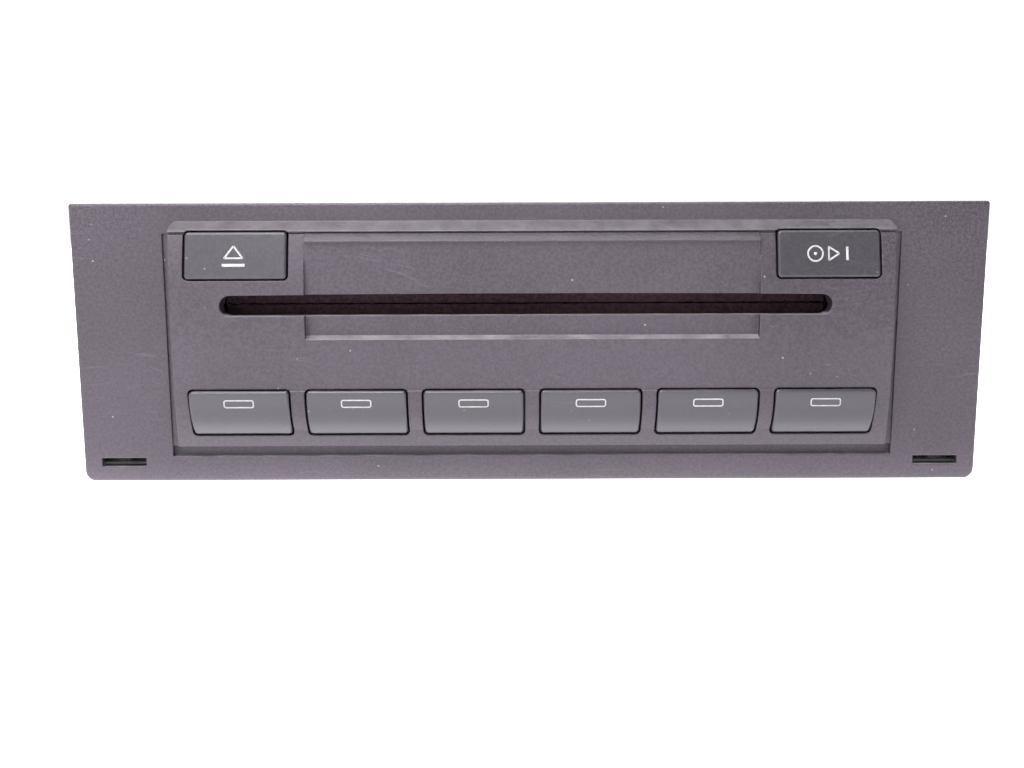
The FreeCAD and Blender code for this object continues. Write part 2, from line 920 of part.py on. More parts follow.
def hollow_key(name, front, width, rise, floor):
    """A sprung cap: front section padded across, hollowed from behind, with a flange and a stem."""
    key = body(name)
    back = face + cell.fascia_plate + cell.key_gap + cell.key_flange
    side = grown(width, -cell.key_gap)
    low, high = grown(rise, -cell.key_gap)
    add(key, "YZ_Plane", side[0], side[1], front(low, high, back))
    round_edges(key, cell.key_corner - cell.key_gap, lambda edge: runs_along(edge, "y"))
    bevel_edges(key, cell.key_bevel, lambda edge: on_front(edge, back))
    flange = rectangle(grown(side, cell.key_flange), (low - cell.key_flange, high + cell.key_flange))
    add(key, "XZ_Plane", back - cell.key_flange, back, flange)
    wall = cell.key_wall
    hollow = rectangle(grown(side, -wall), (low + wall, high - wall))
    remove(key, "XZ_Plane", floor, back, hollow)
    tip = switch_tip() - cell.key_travel - cell.switch_clearance
    middle = (low + high) / 2
    centre = (side[0] + side[1]) / 2
    stem = rectangle(span(centre, 2 * cell.key_stem), span(middle, 2 * cell.key_stem))
    add(key, "XZ_Plane", floor - wall / 2, tip, stem)
    return key


def runs_along(edge, axis):
    box = edge.BoundBox
    spans = {"x": box.XLength, "y": box.YLength, "z": box.ZLength}
    along = spans.pop(axis)
    return along > 1e-3 and max(spans.values()) < 1e-3


def on_front(edge, back):
    """True for the rim of a key's front face."""
    box = edge.BoundBox
    return box.YMax < back.value - 3 and not runs_along(edge, "y")


def switch_tip():
    return board_front - cell.switch_height - cell.switch_plunger / 2


def corner_key(name, side):
    """A flat key, leaning back with the panel and a little proud of it."""
    proud = cell.key_proud
    low_reach = panel_reach_at(cell.corner_key_bottom) + proud
    high_reach = panel_reach_at(cell.corner_key_top) + 2 * proud

    def front(low, high, back):
        return [Line(reach(low_reach), low), Line(back, low), Line(back, high), Line(reach(high_reach), high)]

    floor = reach(high_reach) + cell.key_wall
    width = span(corner_centre(side), cell.corner_key_width)
    return hollow_key(name, front, width, corner_key_rise, floor)


def disc_key(number):
    """A key whose front rolls back towards its lower edge."""

    def front(low, high, back):
        return rolled_front(low, high, back, size(0))

    width = span(key_centre(number), cell.disc_key_width)
    floor = reach(cell.disc_key_low_reach) + cell.key_wall
    return hollow_key(f"disc_button_{number + 1}", front, width, disc_key_rise, floor)


# Key board

def key_board():
    board = body("key_board")
    side = boss_x(1) + cell.board_margin
    rise = (boss_z(-1) - cell.board_margin - steel, cell.fascia_height - 2 * cell.skirt_wall)
    add(board, "XZ_Plane", board_front, board_front + cell.board_thickness, rectangle((-side, side), rise))
    window = stadium(grown(slot_span, 2), (slot_low - 1, slot_high + 1))
    holes = [Circle(boss_x(x), boss_z(z), cell.hole_radius + clear) for x, z in bosses]
    remove(board, "XZ_Plane", board_front, board_front + cell.board_thickness, window, *holes)
    return board


def key_places():
    """Middle of every key: the six disc keys and the two corner keys."""
    low_row = (cell.disc_key_bottom + cell.disc_key_top) / 2
    high_row = (cell.corner_key_bottom + cell.corner_key_top) / 2
    places = [(key_centre(number), low_row) for number in range(cell.disc_key_count.value)]
    return places + [(corner_centre(side), high_row) for side in (-1, 1)]


def key_switches():
    parts = []
    top = board_front - cell.switch_height
    wide = cell.switch_body
    narrow = 2 * cell.switch_plunger
    for number, (x, z) in enumerate(key_places(), 1):
        can = block(f"switch_{number}", span(x, wide), (top, board_front), span(z, wide))
        plunger_y = (switch_tip(), top + steel / 2)
        plunger = block(f"plunger_{number}", span(x, narrow), plunger_y, span(z, narrow))
        parts.append(fused(f"key_switch_{number}", can, plunger))
    return joined("key_switches", *parts)


def key_leds():
    parts = []
    for number, (x, z) in enumerate(key_places(), 1):
        beside = x + cell.switch_body / 2 + cell.led_width
        y = (board_front - cell.led_height, board_front)
        parts.append(block(f"led_{number}", span(beside, cell.led_width), y, span(z, cell.led_height)))
    return joined("key_leds", *parts)


def slot_felt(name, low, high):
    """A felt strip glued behind the slot, level with its edge."""
    wide = grown(slot_span, 1)
    seat = reach(panel_reach_at(high) - hollow_inset - 2 * clear)
    return block(name, wide, (seat, seat + 1.2), (low, high))


# Chassis and covers

inside_x = chassis_side - steel
inside_top = chassis_top - 2 * steel
wall_front = chassis_front + steel
rear_plate = chassis_rear - steel
rim = 8 * steel
mid_height = cell.chassis_bottom + cell.chassis_height / 2


def chassis_tray():
    """Floor, sides and front wall folded from one sheet, with an inward rim that carries the cover."""
    tray = body("chassis_tray")
    lid_seat = chassis_top - steel
    box = rectangle((-chassis_side, chassis_side), (chassis_front, chassis_rear))
    add(tray, "XY_Plane", cell.chassis_bottom, lid_seat, box)
    round_edges(tray, cell.bend_radius,
                lambda edge: runs_along(edge, "y") and edge.BoundBox.ZMax < floor_top.value)
    room = rectangle((-inside_x, inside_x), (floor_top, inside_top))
    remove(tray, "XZ_Plane", wall_front, chassis_rear, room)
    mouth = rectangle((rim - chassis_side, chassis_side - rim), (wall_front + rim, chassis_rear))
    remove(tray, "XY_Plane", inside_top, lid_seat, mouth)
    window = stadium(grown(slot_span, 2), (slot_low - 1, slot_high + 1))
    remove(tray, "XZ_Plane", chassis_front, wall_front, window)
    snap_y = (chassis_front + 1.5 * steel, chassis_front + 1.5 * steel + cell.snap_length + cell.key_gap)
    snaps = [rectangle(snap_y, snap_rise(end)) for end in (-1, 1)]
    holes = [
        Circle(chassis_front + cell.side_screw_setback + i * cell.side_screw_spacing,
               mid_height + j * cell.side_screw_rows / 2, cell.side_screw_radius)
        for i in (0, 1)
        for j in (-1, 1)
    ]
    rear_holes = [Circle(rear_plate - rim / 2, rear_screw_z(end), cell.hole_radius) for end in (-1, 1)]
    for low, high in ((-chassis_side, -inside_x), (inside_x, chassis_side)):
        remove(tray, "YZ_Plane", low, high, *snaps, *holes, *rear_holes)
        vent = stadium(span(vent_y(), cell.vent_length), span(vent_z(), cell.vent_width))
        slit = remove(tray, "YZ_Plane", low, high, vent)
        repeat(tray, slit, "Z_Axis", cell.vent_pitch, cell.vent_count)
    lid_holes = [Circle(x, y, cell.hole_radius) for x, y in cover_screw_places()]
    remove(tray, "XY_Plane", inside_top, lid_seat, *lid_holes)
    standoffs = [Circle(x, y, cell.post_radius) for x, y in board_screw_places()]
    add(tray, "XY_Plane", floor_top, board_seat, *standoffs)
    taps = [Circle(x, y, cell.hole_radius) for x, y in board_screw_places()]
    remove(tray, "XY_Plane", cell.chassis_bottom, board_seat, *taps)
    return tray


def vent_y():
    return chassis_rear - cell.vent_length


def vent_z():
    return mid_height - cell.vent_pitch


def rear_screw_z(end):
    return mid_height + end * cell.chassis_height / 3


def cover_screw_places():
    side = chassis_side - rim / 2
    return [(end * side, y) for end in (-1, 1) for y in (wall_front + 1.5 * rim, rear_plate - rim)]


board_seat = floor_top + cell.main_board_lift


def board_screw_places():
    rows = (chassis_front + cell.main_board_front, chassis_front + cell.main_board_rear)
    return [(x, y) for x in (-cell.main_board_left, cell.main_board_right) for y in rows]


def top_cover():
    """Flat lid with a stiffening bead and rows of cooling slots."""
    cover = body("top_cover")
    sheet_outline = rectangle((-chassis_side, chassis_side), (chassis_front, chassis_rear))
    add(cover, "XY_Plane", chassis_top - steel, chassis_top, sheet_outline)
    middle = (chassis_front + chassis_rear) / 2
    bead = rounded(span(0, cell.chassis_width - 5 * rim), span(middle, cell.chassis_depth - 5 * rim), rim)
    add(cover, "XY_Plane", chassis_top, chassis_top + steel / 2, bead)
    under = rounded(span(0, cell.chassis_width - 5 * rim - 2 * steel),
                    span(middle, cell.chassis_depth - 5 * rim - 2 * steel), rim - steel)
    remove(cover, "XY_Plane", chassis_top - steel, chassis_top - steel / 2, under)
    first = chassis_rear - 6 * rim
    slit = remove(cover, "XY_Plane", chassis_top - steel, chassis_top + steel / 2,
                  stadium(span(cell.vent_length * 1.4, cell.vent_length), span(first, cell.vent_width)),
                  stadium(span(-1.4 * cell.vent_length, cell.vent_length), span(first, cell.vent_width)))
    repeat(cover, slit, "Y_Axis", cell.vent_pitch, cell.vent_count)
    holes = [Circle(x, y, cell.hole_radius) for x, y in cover_screw_places()]
    remove(cover, "XY_Plane", chassis_top - steel, chassis_top, *holes)
    return cover


connector_x = span(cell.connector_offset, cell.connector_width)
connector_z = span(cell.stud_level, cell.connector_height)


def rear_panel():
    """Back plate with forward flanges, an opening for the inlet and a hole for the stud."""
    panel = body("rear_panel")
    rise = (floor_top, inside_top)
    add(panel, "XZ_Plane", rear_plate, chassis_rear, rectangle((-inside_x, inside_x), rise))
    flanges = [rectangle((-inside_x, steel - inside_x), rise), rectangle((inside_x - steel, inside_x), rise)]
    add(panel, "XZ_Plane", rear_plate - rim, rear_plate, *flanges)
    remove(panel, "XZ_Plane", rear_plate, chassis_rear, rectangle(connector_x, connector_z),
           Circle(0, cell.stud_level, cell.stud_radius))
    holes = [Circle(rear_plate - rim / 2, rear_screw_z(end), cell.hole_radius) for end in (-1, 1)]
    remove(panel, "YZ_Plane", -inside_x, inside_x, *holes)
    slit = remove(panel, "XZ_Plane", rear_plate, chassis_rear,
                  stadium(span(cell.stud_level * 1.6, cell.vent_length), span(vent_z(), cell.vent_width)))
    repeat(panel, slit, "Z_Axis", cell.vent_pitch, cell.vent_count)
    return panel


def rear_connector():
    """Flanged inlet housing, open to the back."""
    inlet = body("rear_connector")
    back = chassis_rear + cell.connector_depth - cell.skirt_wall
    add(inlet, "XZ_Plane", rear_plate, back, rectangle(connector_x, connector_z))
    flange = rounded(grown(connector_x, cell.connector_wall), grown(connector_z, cell.connector_wall), steel)
    add(inlet, "XZ_Plane", chassis_rear, chassis_rear + cell.connector_wall, flange)
    room = rounded(grown(connector_x, -cell.connector_wall), grown(connector_z, -cell.connector_wall), steel)
    remove(inlet, "XZ_Plane", chassis_rear, back, room)
    key_way = rectangle(span(cell.connector_offset, cell.pin_pitch),
                        (connector_z[1] - cell.connector_wall, connector_z[1]))
    remove(inlet, "XZ_Plane", chassis_rear + cell.connector_wall, back, key_way)
    return inlet


def connector_pins():
    """Two rows of square pins in the inlet."""
    pins = body("connector_pins")
    tip = chassis_rear + cell.connector_depth - 2 * cell.skirt_wall
    first = cell.connector_offset - 3.5 * cell.pin_pitch
    rows = [
        rectangle(span(first, cell.pin_side), span(cell.stud_level + side * cell.pin_pitch, cell.pin_side))
        for side in (-1, 1)
    ]
    pair = add(pins, "XZ_Plane", chassis_rear, tip, *rows)
    repeat(pins, pair, "X_Axis", cell.pin_pitch, 8)
    return pins


def rear_stud():
    """Locating stud with a collar against the back plate and a bevelled tip."""
    radius = cell.stud_radius
    tip = cell.stud_length
    profile = step_profile(
        (radius, -2 * steel, 0),
        (cell.stud_collar, 0, 2 * steel),
        (radius, 2 * steel, tip - steel))
    profile[-1:] = [Line(radius - steel, tip), Line(0, tip)]
    return lay(turned("rear_stud", profile), "Y", 0, chassis_rear, cell.stud_level)


def main_board():
    board = body("main_board")
    spots = board_screw_places()
    margin = 2 * cell.post_radius
    across = (spots[0][0] - margin, spots[2][0] + margin)
    along = (spots[0][1] - margin, spots[1][1] + margin)
    outline = rectangle(across, along)
    add(board, "XY_Plane", board_seat, board_seat + cell.board_thickness, outline)
    holes = [Circle(x, y, cell.hole_radius + clear) for x, y in spots]
    remove(board, "XY_Plane", board_seat, board_seat + cell.board_thickness, *holes)
    return board


def main_board_parts():
    """Processor, driver chips, regulator, capacitors and the ribbon socket on the main board."""
    top = board_seat + cell.board_thickness
    left = -cell.main_board_left
    front = chassis_front + cell.main_board_front
    unit = cell.chip_side
    chips = [(3, 3, 2), (5.5, 6, 1.2), (8, 3, 1.4), (1.5, 7.5, 1), (8, 7.5, 0.9)]
    parts = []
    for number, (across, along, scale) in enumerate(chips, 1):
        x = span(left + across * unit, scale * unit)
        y = span(front + along * unit, scale * unit)
        parts.append(block(f"chip_{number}", x, y, (top, top + cell.chip_height)))
    for number in range(4):
        x = left + 6 * unit + cell.capacitor_pitch * number
        high = top + cell.capacitor_height
        parts.append(rod(f"capacitor_{number + 1}", "Z", cell.capacitor_radius, top, high, x, front + unit))
    socket_x = span(left + 2 * unit, 1.6 * unit)
    socket_y = span(front + unit, unit / 2)
    parts.append(block("ribbon_socket", socket_x, socket_y, (top, top + cell.capacitor_height)))
    return joined("main_board_parts", *parts)


# Lines of the lift's rack plate, which the frame guides and the spindles mesh with

rack_line = cell.spindle_offset - pitch_radius(cell.rack_module, cell.lift_teeth) - clear
rack_addendum = 0.7
plate_edge = rack_line - cell.rack_module * 1.1
plate_front = chassis_front + cell.front_spindle - 4 * cell.rack_module
plate_rear = chassis_front + cell.rear_spindle + cell.rack_travel + 4 * cell.rack_module
plate_rail = 3 * cell.spindle_radius
guide_pin = 1.1 * steel


def guide_places():
    """The studs that the rack plate slides on, at the front end of its slots."""
    side = plate_edge - plate_rail / 2
    rows = (plate_front + cell.front_guide, plate_rear - cell.rear_guide)
    return [(end * side, y) for end in (-1, 1) for y in rows]


# Mechanism frame

def damper_places():
    side = cell.base_half_width - cell.damper_radius - steel
    rows = (chassis_front + cell.front_damper, chassis_front + cell.rear_damper)
    return [(end * side, y) for end in (-1, 1) for y in rows]


def mechanism_dampers():
    """Waisted rubber mounts between the floor and the mechanism's base plate."""
    parts = []
    radius = cell.damper_radius
    bore = cell.hole_radius
    tall = cell.damper_height
    for number, (x, y) in enumerate(damper_places(), 1):
        profile = [
            Line(bore, 0),
            Line(radius, 0),
            Line(radius * 0.7, tall / 2),
            Line(radius, tall),
            Line(bore, tall),
        ]
        parts.append(place(turned(f"damper_{number}", profile), x, y, floor_top))
    return joined("mechanism_dampers", *parts)


def spindle_places():
    rows = (chassis_front + cell.front_spindle, chassis_front + cell.rear_spindle)
    return [(side * cell.spindle_offset, y) for side in (-1, 1) for y in rows]


lift_drive = (cell.spindle_offset, chassis_front + cell.lift_motor_setback)
journal = cell.spindle_radius - steel


def mechanism_base():
    """Base plate with folded ears for the roller and its gear train."""
    base = body("mechanism_base")
    half = cell.base_half_width
    plate = rounded((-half, half), (wall_front + steel, chassis_front + cell.base_depth), size(2))
    add(base, "XY_Plane", base_bottom, base_top, plate)
    ear = [
        Line(wall_front + steel, base_bottom),
        Line(wall_front + 21 * steel, base_bottom),
        Line(wall_front + 21 * steel, motor_level + 4 * steel),
        Line(roller_y + 5 * steel, cell.slot_level + 3 * steel),
        Line(wall_front + steel, cell.slot_level + 3 * steel),
    ]
    for side in (-1, 1):
        edge = side * cell.ear_offset
        add(base, "YZ_Plane", edge - steel / 2, edge + steel / 2, ear)
    journals = Circle(roller_y, roller_level, cell.roller_shaft_radius + clear)
    remove(base, "YZ_Plane", -cell.ear_offset - steel / 2, cell.ear_offset + steel / 2, journals)
    remove(base, "YZ_Plane", cell.ear_offset - steel / 2, cell.ear_offset + steel / 2,
           Circle(motor_y, motor_level, cell.motor_shaft_radius * 2))
    add(base, "YZ_Plane", cell.ear_offset + steel / 2, gear_low + cell.gear_width + steel / 2,
        Circle(roller_y, idler_level, cell.roller_shaft_radius - clear))
    journals = [Circle(x, y, journal + clear) for x, y in spindle_places()]
    shafts = [
        Circle(lift_drive[0], lift_drive[1], cell.motor_shaft_radius * 2),
        Circle(cell.deck_pivot_offset, pivot_y, journal),
    ]
    holes = [Circle(x, y, cell.hole_radius) for x, y in damper_places()]
    remove(base, "XY_Plane", base_bottom, base_top, *journals, *shafts, *holes, frame_window())
    pads = [Circle(x, y, 2 * guide_pin) for x, y in guide_places()]
    add(base, "XY_Plane", base_top, rack_bottom - clear, *pads)
    pins = [Circle(x, y, guide_pin) for x, y in guide_places()]
    add(base, "XY_Plane", rack_bottom - clear, rack_top + steel, *pins)
    return base


def frame_window():
    """The opening in the base and top plates under and over the trays."""
    along = (chassis_front + cell.window_front, chassis_front + cell.window_rear)
    return rounded((-cell.window_half, cell.window_half), along, cell.window_corner)


def mechanism_top():
    """Top plate that holds the spindles' and the pivot post's upper ends."""
    top = body("mechanism_top")
    low = cell.top_plate_level
    high = low + steel
    plate = rounded((-cell.base_half_width, cell.base_half_width),
                    (wall_front + steel, chassis_front + cell.base_depth), size(2))
    add(top, "XY_Plane", low, high, plate)
    journals = [Circle(x, y, journal + clear) for x, y in spindle_places()]
    post = Circle(cell.deck_pivot_offset, pivot_y, journal)
    remove(top, "XY_Plane", low, high, *journals, post, frame_window())
    for side in (-1, 1):
        edge = side * cell.ear_offset
        ear = rectangle((wall_front + steel, roller_y), (cell.slot_level + 3 * steel, low))
        add(top, "YZ_Plane", edge - steel / 2, edge + steel / 2, ear)
    return top


# Disc loading: roller, idler and motor pinion on parallel shafts

def mesh_distance(first, second):
    return pitch_radius(cell.gear_module, size(first) + second) + clear


idler_level = roller_level - mesh_distance(cell.roller_teeth, cell.idler_teeth)
motor_y = roller_y + mesh_distance(cell.idler_teeth, cell.pinion_teeth)
motor_level = idler_level
gear_low = cell.ear_offset + 1.5 * steel


def roller_shaft():
    half = cell.ear_offset + steel
    profile = step_profile((cell.roller_shaft_radius, -half, gear_low + cell.gear_width))
    return lay(turned("load_roller_shaft", profile), "X", 0, roller_y, roller_level)


def roller_sleeves():
    """Two rubber sleeves, thicker towards the disc's edge, so that they grip it only there."""
    parts = []
    for name, side in (("left", -1), ("right", 1)):
        near = side * cell.roller_gap
        far = side * cell.roller_half_length
        profile = [
            Line(cell.roller_shaft_radius, near),
            Line(cell.roller_waist, near),
            Line(cell.roller_radius, far),
            Line(cell.roller_shaft_radius, far),
        ]
        sleeve = turned(f"sleeve_{name}", profile)
        parts.append(lay(sleeve, "X", 0, roller_y, roller_level))
    return joined("load_roller_sleeves", *parts)


def train_gear(name, teeth, y, z, phase):
    """A wheel of the loading train, in the plane outside the right ear."""
    gear = body(name)
    cut_gear(gear, cell.gear_module, teeth, gear_low, gear_low + cell.gear_width, phase)
    remove(gear, "XY_Plane", gear_low, gear_low + cell.gear_width, Circle(0, 0, cell.roller_shaft_radius))
    return lay(gear, "X", 0, y, z)


def load_motor():
    """Flat-sided can with a boss, its shaft through the right ear to the pinion."""
    radius = cell.load_motor_radius
    inner = cell.ear_offset - steel / 2
    can = body("load_motor_can")
    flat = radius * 0.82
    half = root(radius * radius - flat * flat)
    outline = [
        Arc(half, -flat, 0, 0),
        Line(half, flat),
        Arc(-half, flat, 0, 0),
        Line(-half, -flat),
    ]
    add(can, "XY_Plane", inner - cell.load_motor_length, inner, outline)
    lay(can, "X", 0, motor_y, motor_level)
    return named_shape("load_motor", can)


def named_shape(name, thing):
    thing.Label = name
    return thing


def load_pinion():
    """Motor pinion on its shaft."""
    pinion = body("load_pinion")
    inner = cell.ear_offset - steel / 2
    cut_gear(pinion, cell.gear_module, cell.pinion_teeth, gear_low, gear_low + cell.gear_width, 0)
    add(pinion, "XY_Plane", inner + clear, gear_low, Circle(0, 0, cell.motor_shaft_radius))
    return lay(pinion, "X", 0, motor_y, motor_level)


# Lift: a rack plate turns four spindles, which raise and lower the trays

def rack_teeth(plate, side, y, count):
    """A row of rack teeth along one edge of the plate, the first opposite a pinion's gap."""
    lean = math.tan(math.radians(PRESSURE))
    half = cell.rack_module * (math.pi / 4) - cell.gear_backlash / 2
    tip = cell.rack_module * rack_addendum
    foot = cell.rack_module * 1.2
    outline = [
        Line(side * (rack_line - foot), y - side * (half + foot * lean)),
        Line(side * (rack_line + tip), y - side * (half - tip * lean)),
        Line(side * (rack_line + tip), y + side * (half - tip * lean)),
        Line(side * (rack_line - foot), y + side * (half + foot * lean)),
    ]
    first = add(plate, "XY_Plane", rack_bottom, rack_top, outline)
    return repeat(plate, first, "Y_Axis", cell.rack_module * math.pi, count)


def sync_plate():
    """Sliding frame with racks along both edges, cleared in the middle and guided by two slots."""
    plate = body("sync_plate")
    outline = rounded((-plate_edge, plate_edge), (plate_front, plate_rear), size(1))
    add(plate, "XY_Plane", rack_bottom, rack_top, outline)
    rail = plate_rail
    room = rectangle((rail - plate_edge, plate_edge - rail), (plate_front + rail, plate_rear - rail))
    remove(plate, "XY_Plane", rack_bottom, rack_top, room)
    play = guide_pin + 2 * clear
    slots = [
        rounded(span(x, 2 * play), (y - play, y + cell.rack_travel + play), play * 0.9)
        for x, y in guide_places()
    ]
    remove(plate, "XY_Plane", rack_bottom, rack_top, *slots)
    count = 6
    for side in (-1, 1):
        for row in (cell.front_spindle, cell.rear_spindle):
            rack_teeth(plate, side, chassis_front + row - cell.rack_module * math.pi, count)
    rack_teeth(plate, 1, lift_drive[1] - cell.rack_module * math.pi, count)
    return plate


def lift_spindle(number, x, y):
    """Journals, a pinion and the lifting shaft of one spindle."""
    low = rack_bottom
    shaft = turned(f"lift_spindle_{number}", step_profile(
        (journal, base_bottom, base_top + clear),
        (cell.spindle_radius, base_top + clear, cell.top_plate_level - clear),
        (journal, cell.top_plate_level - clear, cell.top_plate_level + steel)))
    phase = 180 / cell.lift_teeth
    cut_gear(shaft, cell.rack_module, cell.lift_teeth, low, rack_top, phase)
    return place(shaft, x, y, 0)


def lift_motor():
    """Can under the base plate with a locating boss in the plate."""
    x, y = lift_drive
    motor = turned("lift_motor", [
        Line(cell.motor_shaft_radius + clear, floor_top + 0.3),
        Line(cell.lift_motor_radius, floor_top + 0.3),
        Line(cell.lift_motor_radius, base_bottom),
        Line(cell.motor_shaft_radius * 2, base_bottom),
        Line(cell.motor_shaft_radius * 2, base_top),
        Line(cell.motor_shaft_radius + clear, base_top),
    ])
    return place(motor, x, y, 0)


def lift_pinion():
    """Drive pinion on the motor's shaft, in mesh with the rack plate."""
    pinion = body("lift_pinion")
    phase = 180 / cell.lift_teeth
    cut_gear(pinion, cell.rack_module, cell.lift_teeth, rack_bottom, rack_top, phase)
    add(pinion, "XY_Plane", floor_top + 0.3, rack_bottom, Circle(0, 0, cell.motor_shaft_radius))
    return place(pinion, lift_drive[0], lift_drive[1], 0)


# Disc trays

def tray_level(number):
    """Underside of a tray with the stack parted for the third disc."""
    if number < 3:
        return cell.lower_tray + cell.tray_pitch * (number - 1)
    if number == 3:
        return cell.play_tray
    return cell.upper_tray + cell.tray_pitch * (number - 4)


def disc_tray(number):
    """Horseshoe tray with a shallow disc seat, open to the front, and four sliding holes."""
    tray = body(f"disc_tray_{number}")
    low = tray_level(number)
    high = low + cell.tray_thickness
    front = chassis_front + cell.tray_front
    half = cell.tray_half_width
    corner = 2 * cell.tray_pitch
    outline = rounded((-half, half), (front, chassis_front + cell.tray_rear), size(3), corner)
    add(tray, "XY_Plane", low, high, outline)
    seat = cell.disc_diameter / 2 + cell.disc_clearance
    remove(tray, "XY_Plane", low + cell.tray_floor, high, horseshoe(seat, front - 1))
    remove(tray, "XY_Plane", low, low + cell.tray_floor, horseshoe(cell.tray_opening, front - 1))
    sleeve = cell.spindle_radius + 2 * clear
    holes = [Circle(x, y, sleeve) for x, y in spindle_places()]
    remove(tray, "XY_Plane", low, high, *holes)
    return tray


def horseshoe(radius, front):
    """A round seat about the disc's centre, carried straight out to the front."""
    return [
        Line(-radius, front),
        Line(radius, front),
        Arc(radius, disc_y, 0, disc_y),
        Line(-radius, disc_y),
    ]


# Playback deck

def deck_x(along):
    """X of a point at a distance along the parked deck from its pivot."""
    return cell.deck_pivot_offset - along


def deck_y(across):
    return pivot_y + across


def playback_deck():
    """Open-topped moulded arm with a pivot hub, a nose for the turntable and cheeks for the clamp arm."""
    deck = body("playback_deck")
    low = cell.deck_bottom
    wall = cell.deck_wall
    add(deck, "XY_Plane", low, rail_top, deck_outline(size(0)))
    remove(deck, "XY_Plane", motor_seat, rail_top, deck_outline(wall))
    add(deck, "XY_Plane", motor_seat, rail_top, Circle(deck_x(0), pivot_y, cell.arm_half_width - wall / 2))
    window = rectangle(rod_ends, (deck_y(cell.front_rod + 3), deck_y(cell.rear_rod - 3)))
    remove(deck, "XY_Plane", low, motor_seat, window)
    seats = [
        rectangle(x, span(deck_y(across), 2.4 * cell.rod_radius))
        for across in (cell.front_rod, cell.rear_rod)
        for x in ((rod_ends[0] - 2, rod_ends[0]), (rod_ends[1], rod_ends[1] + 2))
    ]
    add(deck, "XY_Plane", motor_seat, cell.rod_level + cell.rod_radius, *seats)
    cheek = [
        rectangle((deck_x(16), deck_x(2)), span(deck_y(side * (cell.clamp_hinge + wall)), wall))
        for side in (-1, 1)
    ]
    add(deck, "XY_Plane", rail_top, cell.clamp_level + 3 * steel, *cheek)
    post = Circle(deck_x(0), pivot_y, cell.deck_pivot_radius + clear)
    remove(deck, "XY_Plane", low, rail_top, post)
    pin = Circle(hinge_x, hinge_level, cell.hinge_pin_radius)
    deck_hinge = (deck_y(-cell.clamp_hinge - 2 * wall), deck_y(cell.clamp_hinge + 2 * wall))
    remove(deck, "XZ_Plane", deck_hinge[0], deck_hinge[1], pin)
    return deck


def deck_outline(inset):
    """Plan of the arm: narrow and round about the pivot, wide from the neck on, round at the nose."""
    wide = cell.deck_half_width - inset
    thin = cell.arm_half_width - inset
    neck = deck_x(cell.arm_length) - inset
    flare = neck - (wide - thin)
    nose = deck_x(cell.deck_nose) + inset
    corner = cell.deck_half_width / 2 - inset
    return [
        Line(nose + corner, deck_y(-wide)),
        Line(flare, deck_y(-wide)),
        Line(neck, deck_y(-thin)),
        Arc(deck_x(0), deck_y(-thin), deck_x(0), pivot_y),
        Line(deck_x(0), deck_y(thin)),
        Line(neck, deck_y(thin)),
        Line(flare, deck_y(wide)),
        Arc(nose + corner, deck_y(wide), nose + corner, deck_y(wide) - corner),
        Line(nose, deck_y(wide) - corner),
        Arc(nose, deck_y(-wide) + corner, nose + corner, deck_y(-wide) + corner),
    ]


hinge_x = deck_x(9)
hinge_level = cell.clamp_level + 1.5 * steel


def deck_pivot():
    """Post between the base and top plates."""
    post = turned("deck_pivot", step_profile(
        (journal, base_bottom, base_top),
        (cell.deck_pivot_radius + 2 * steel, base_top, cell.deck_bottom - clear),
        (cell.deck_pivot_radius, cell.deck_bottom - clear, cell.top_plate_level),
        (journal, cell.top_plate_level, cell.top_plate_level + steel)))
    return place(post, deck_x(0), pivot_y, 0)


motor_seat = cell.deck_bottom + cell.deck_floor
seat_low = cell.turntable_seat - cell.turntable_thickness


def spindle_motor():
    """Flat motor under the turntable, with a bearing boss."""
    motor = turned("spindle_motor", [
        Line(cell.motor_shaft_radius + clear, motor_seat),
        Line(cell.spindle_motor_radius, motor_seat),
        Line(cell.spindle_motor_radius, motor_seat + cell.spindle_motor_height),
        Line(2 * cell.motor_shaft_radius, motor_seat + cell.spindle_motor_height),
        Line(2 * cell.motor_shaft_radius, seat_low - 0.4),
        Line(cell.motor_shaft_radius + clear, seat_low - 0.4),
    ])
    return place(motor, turntable_x, pivot_y, 0)


def turntable():
    """Disc seat, centring cone and motor shaft."""
    table = turned("turntable", [
        Line(0, motor_seat),
        Line(cell.motor_shaft_radius, motor_seat),
        Line(cell.motor_shaft_radius, seat_low),
        Line(cell.turntable_radius, seat_low),
        Line(cell.turntable_radius, cell.turntable_seat),
        Line(cell.cone_radius, cell.turntable_seat),
        Line(cell.cone_radius - steel, cell.cone_top),
        Line(0, cell.cone_top),
    ])
    return place(table, turntable_x, pivot_y, 0)


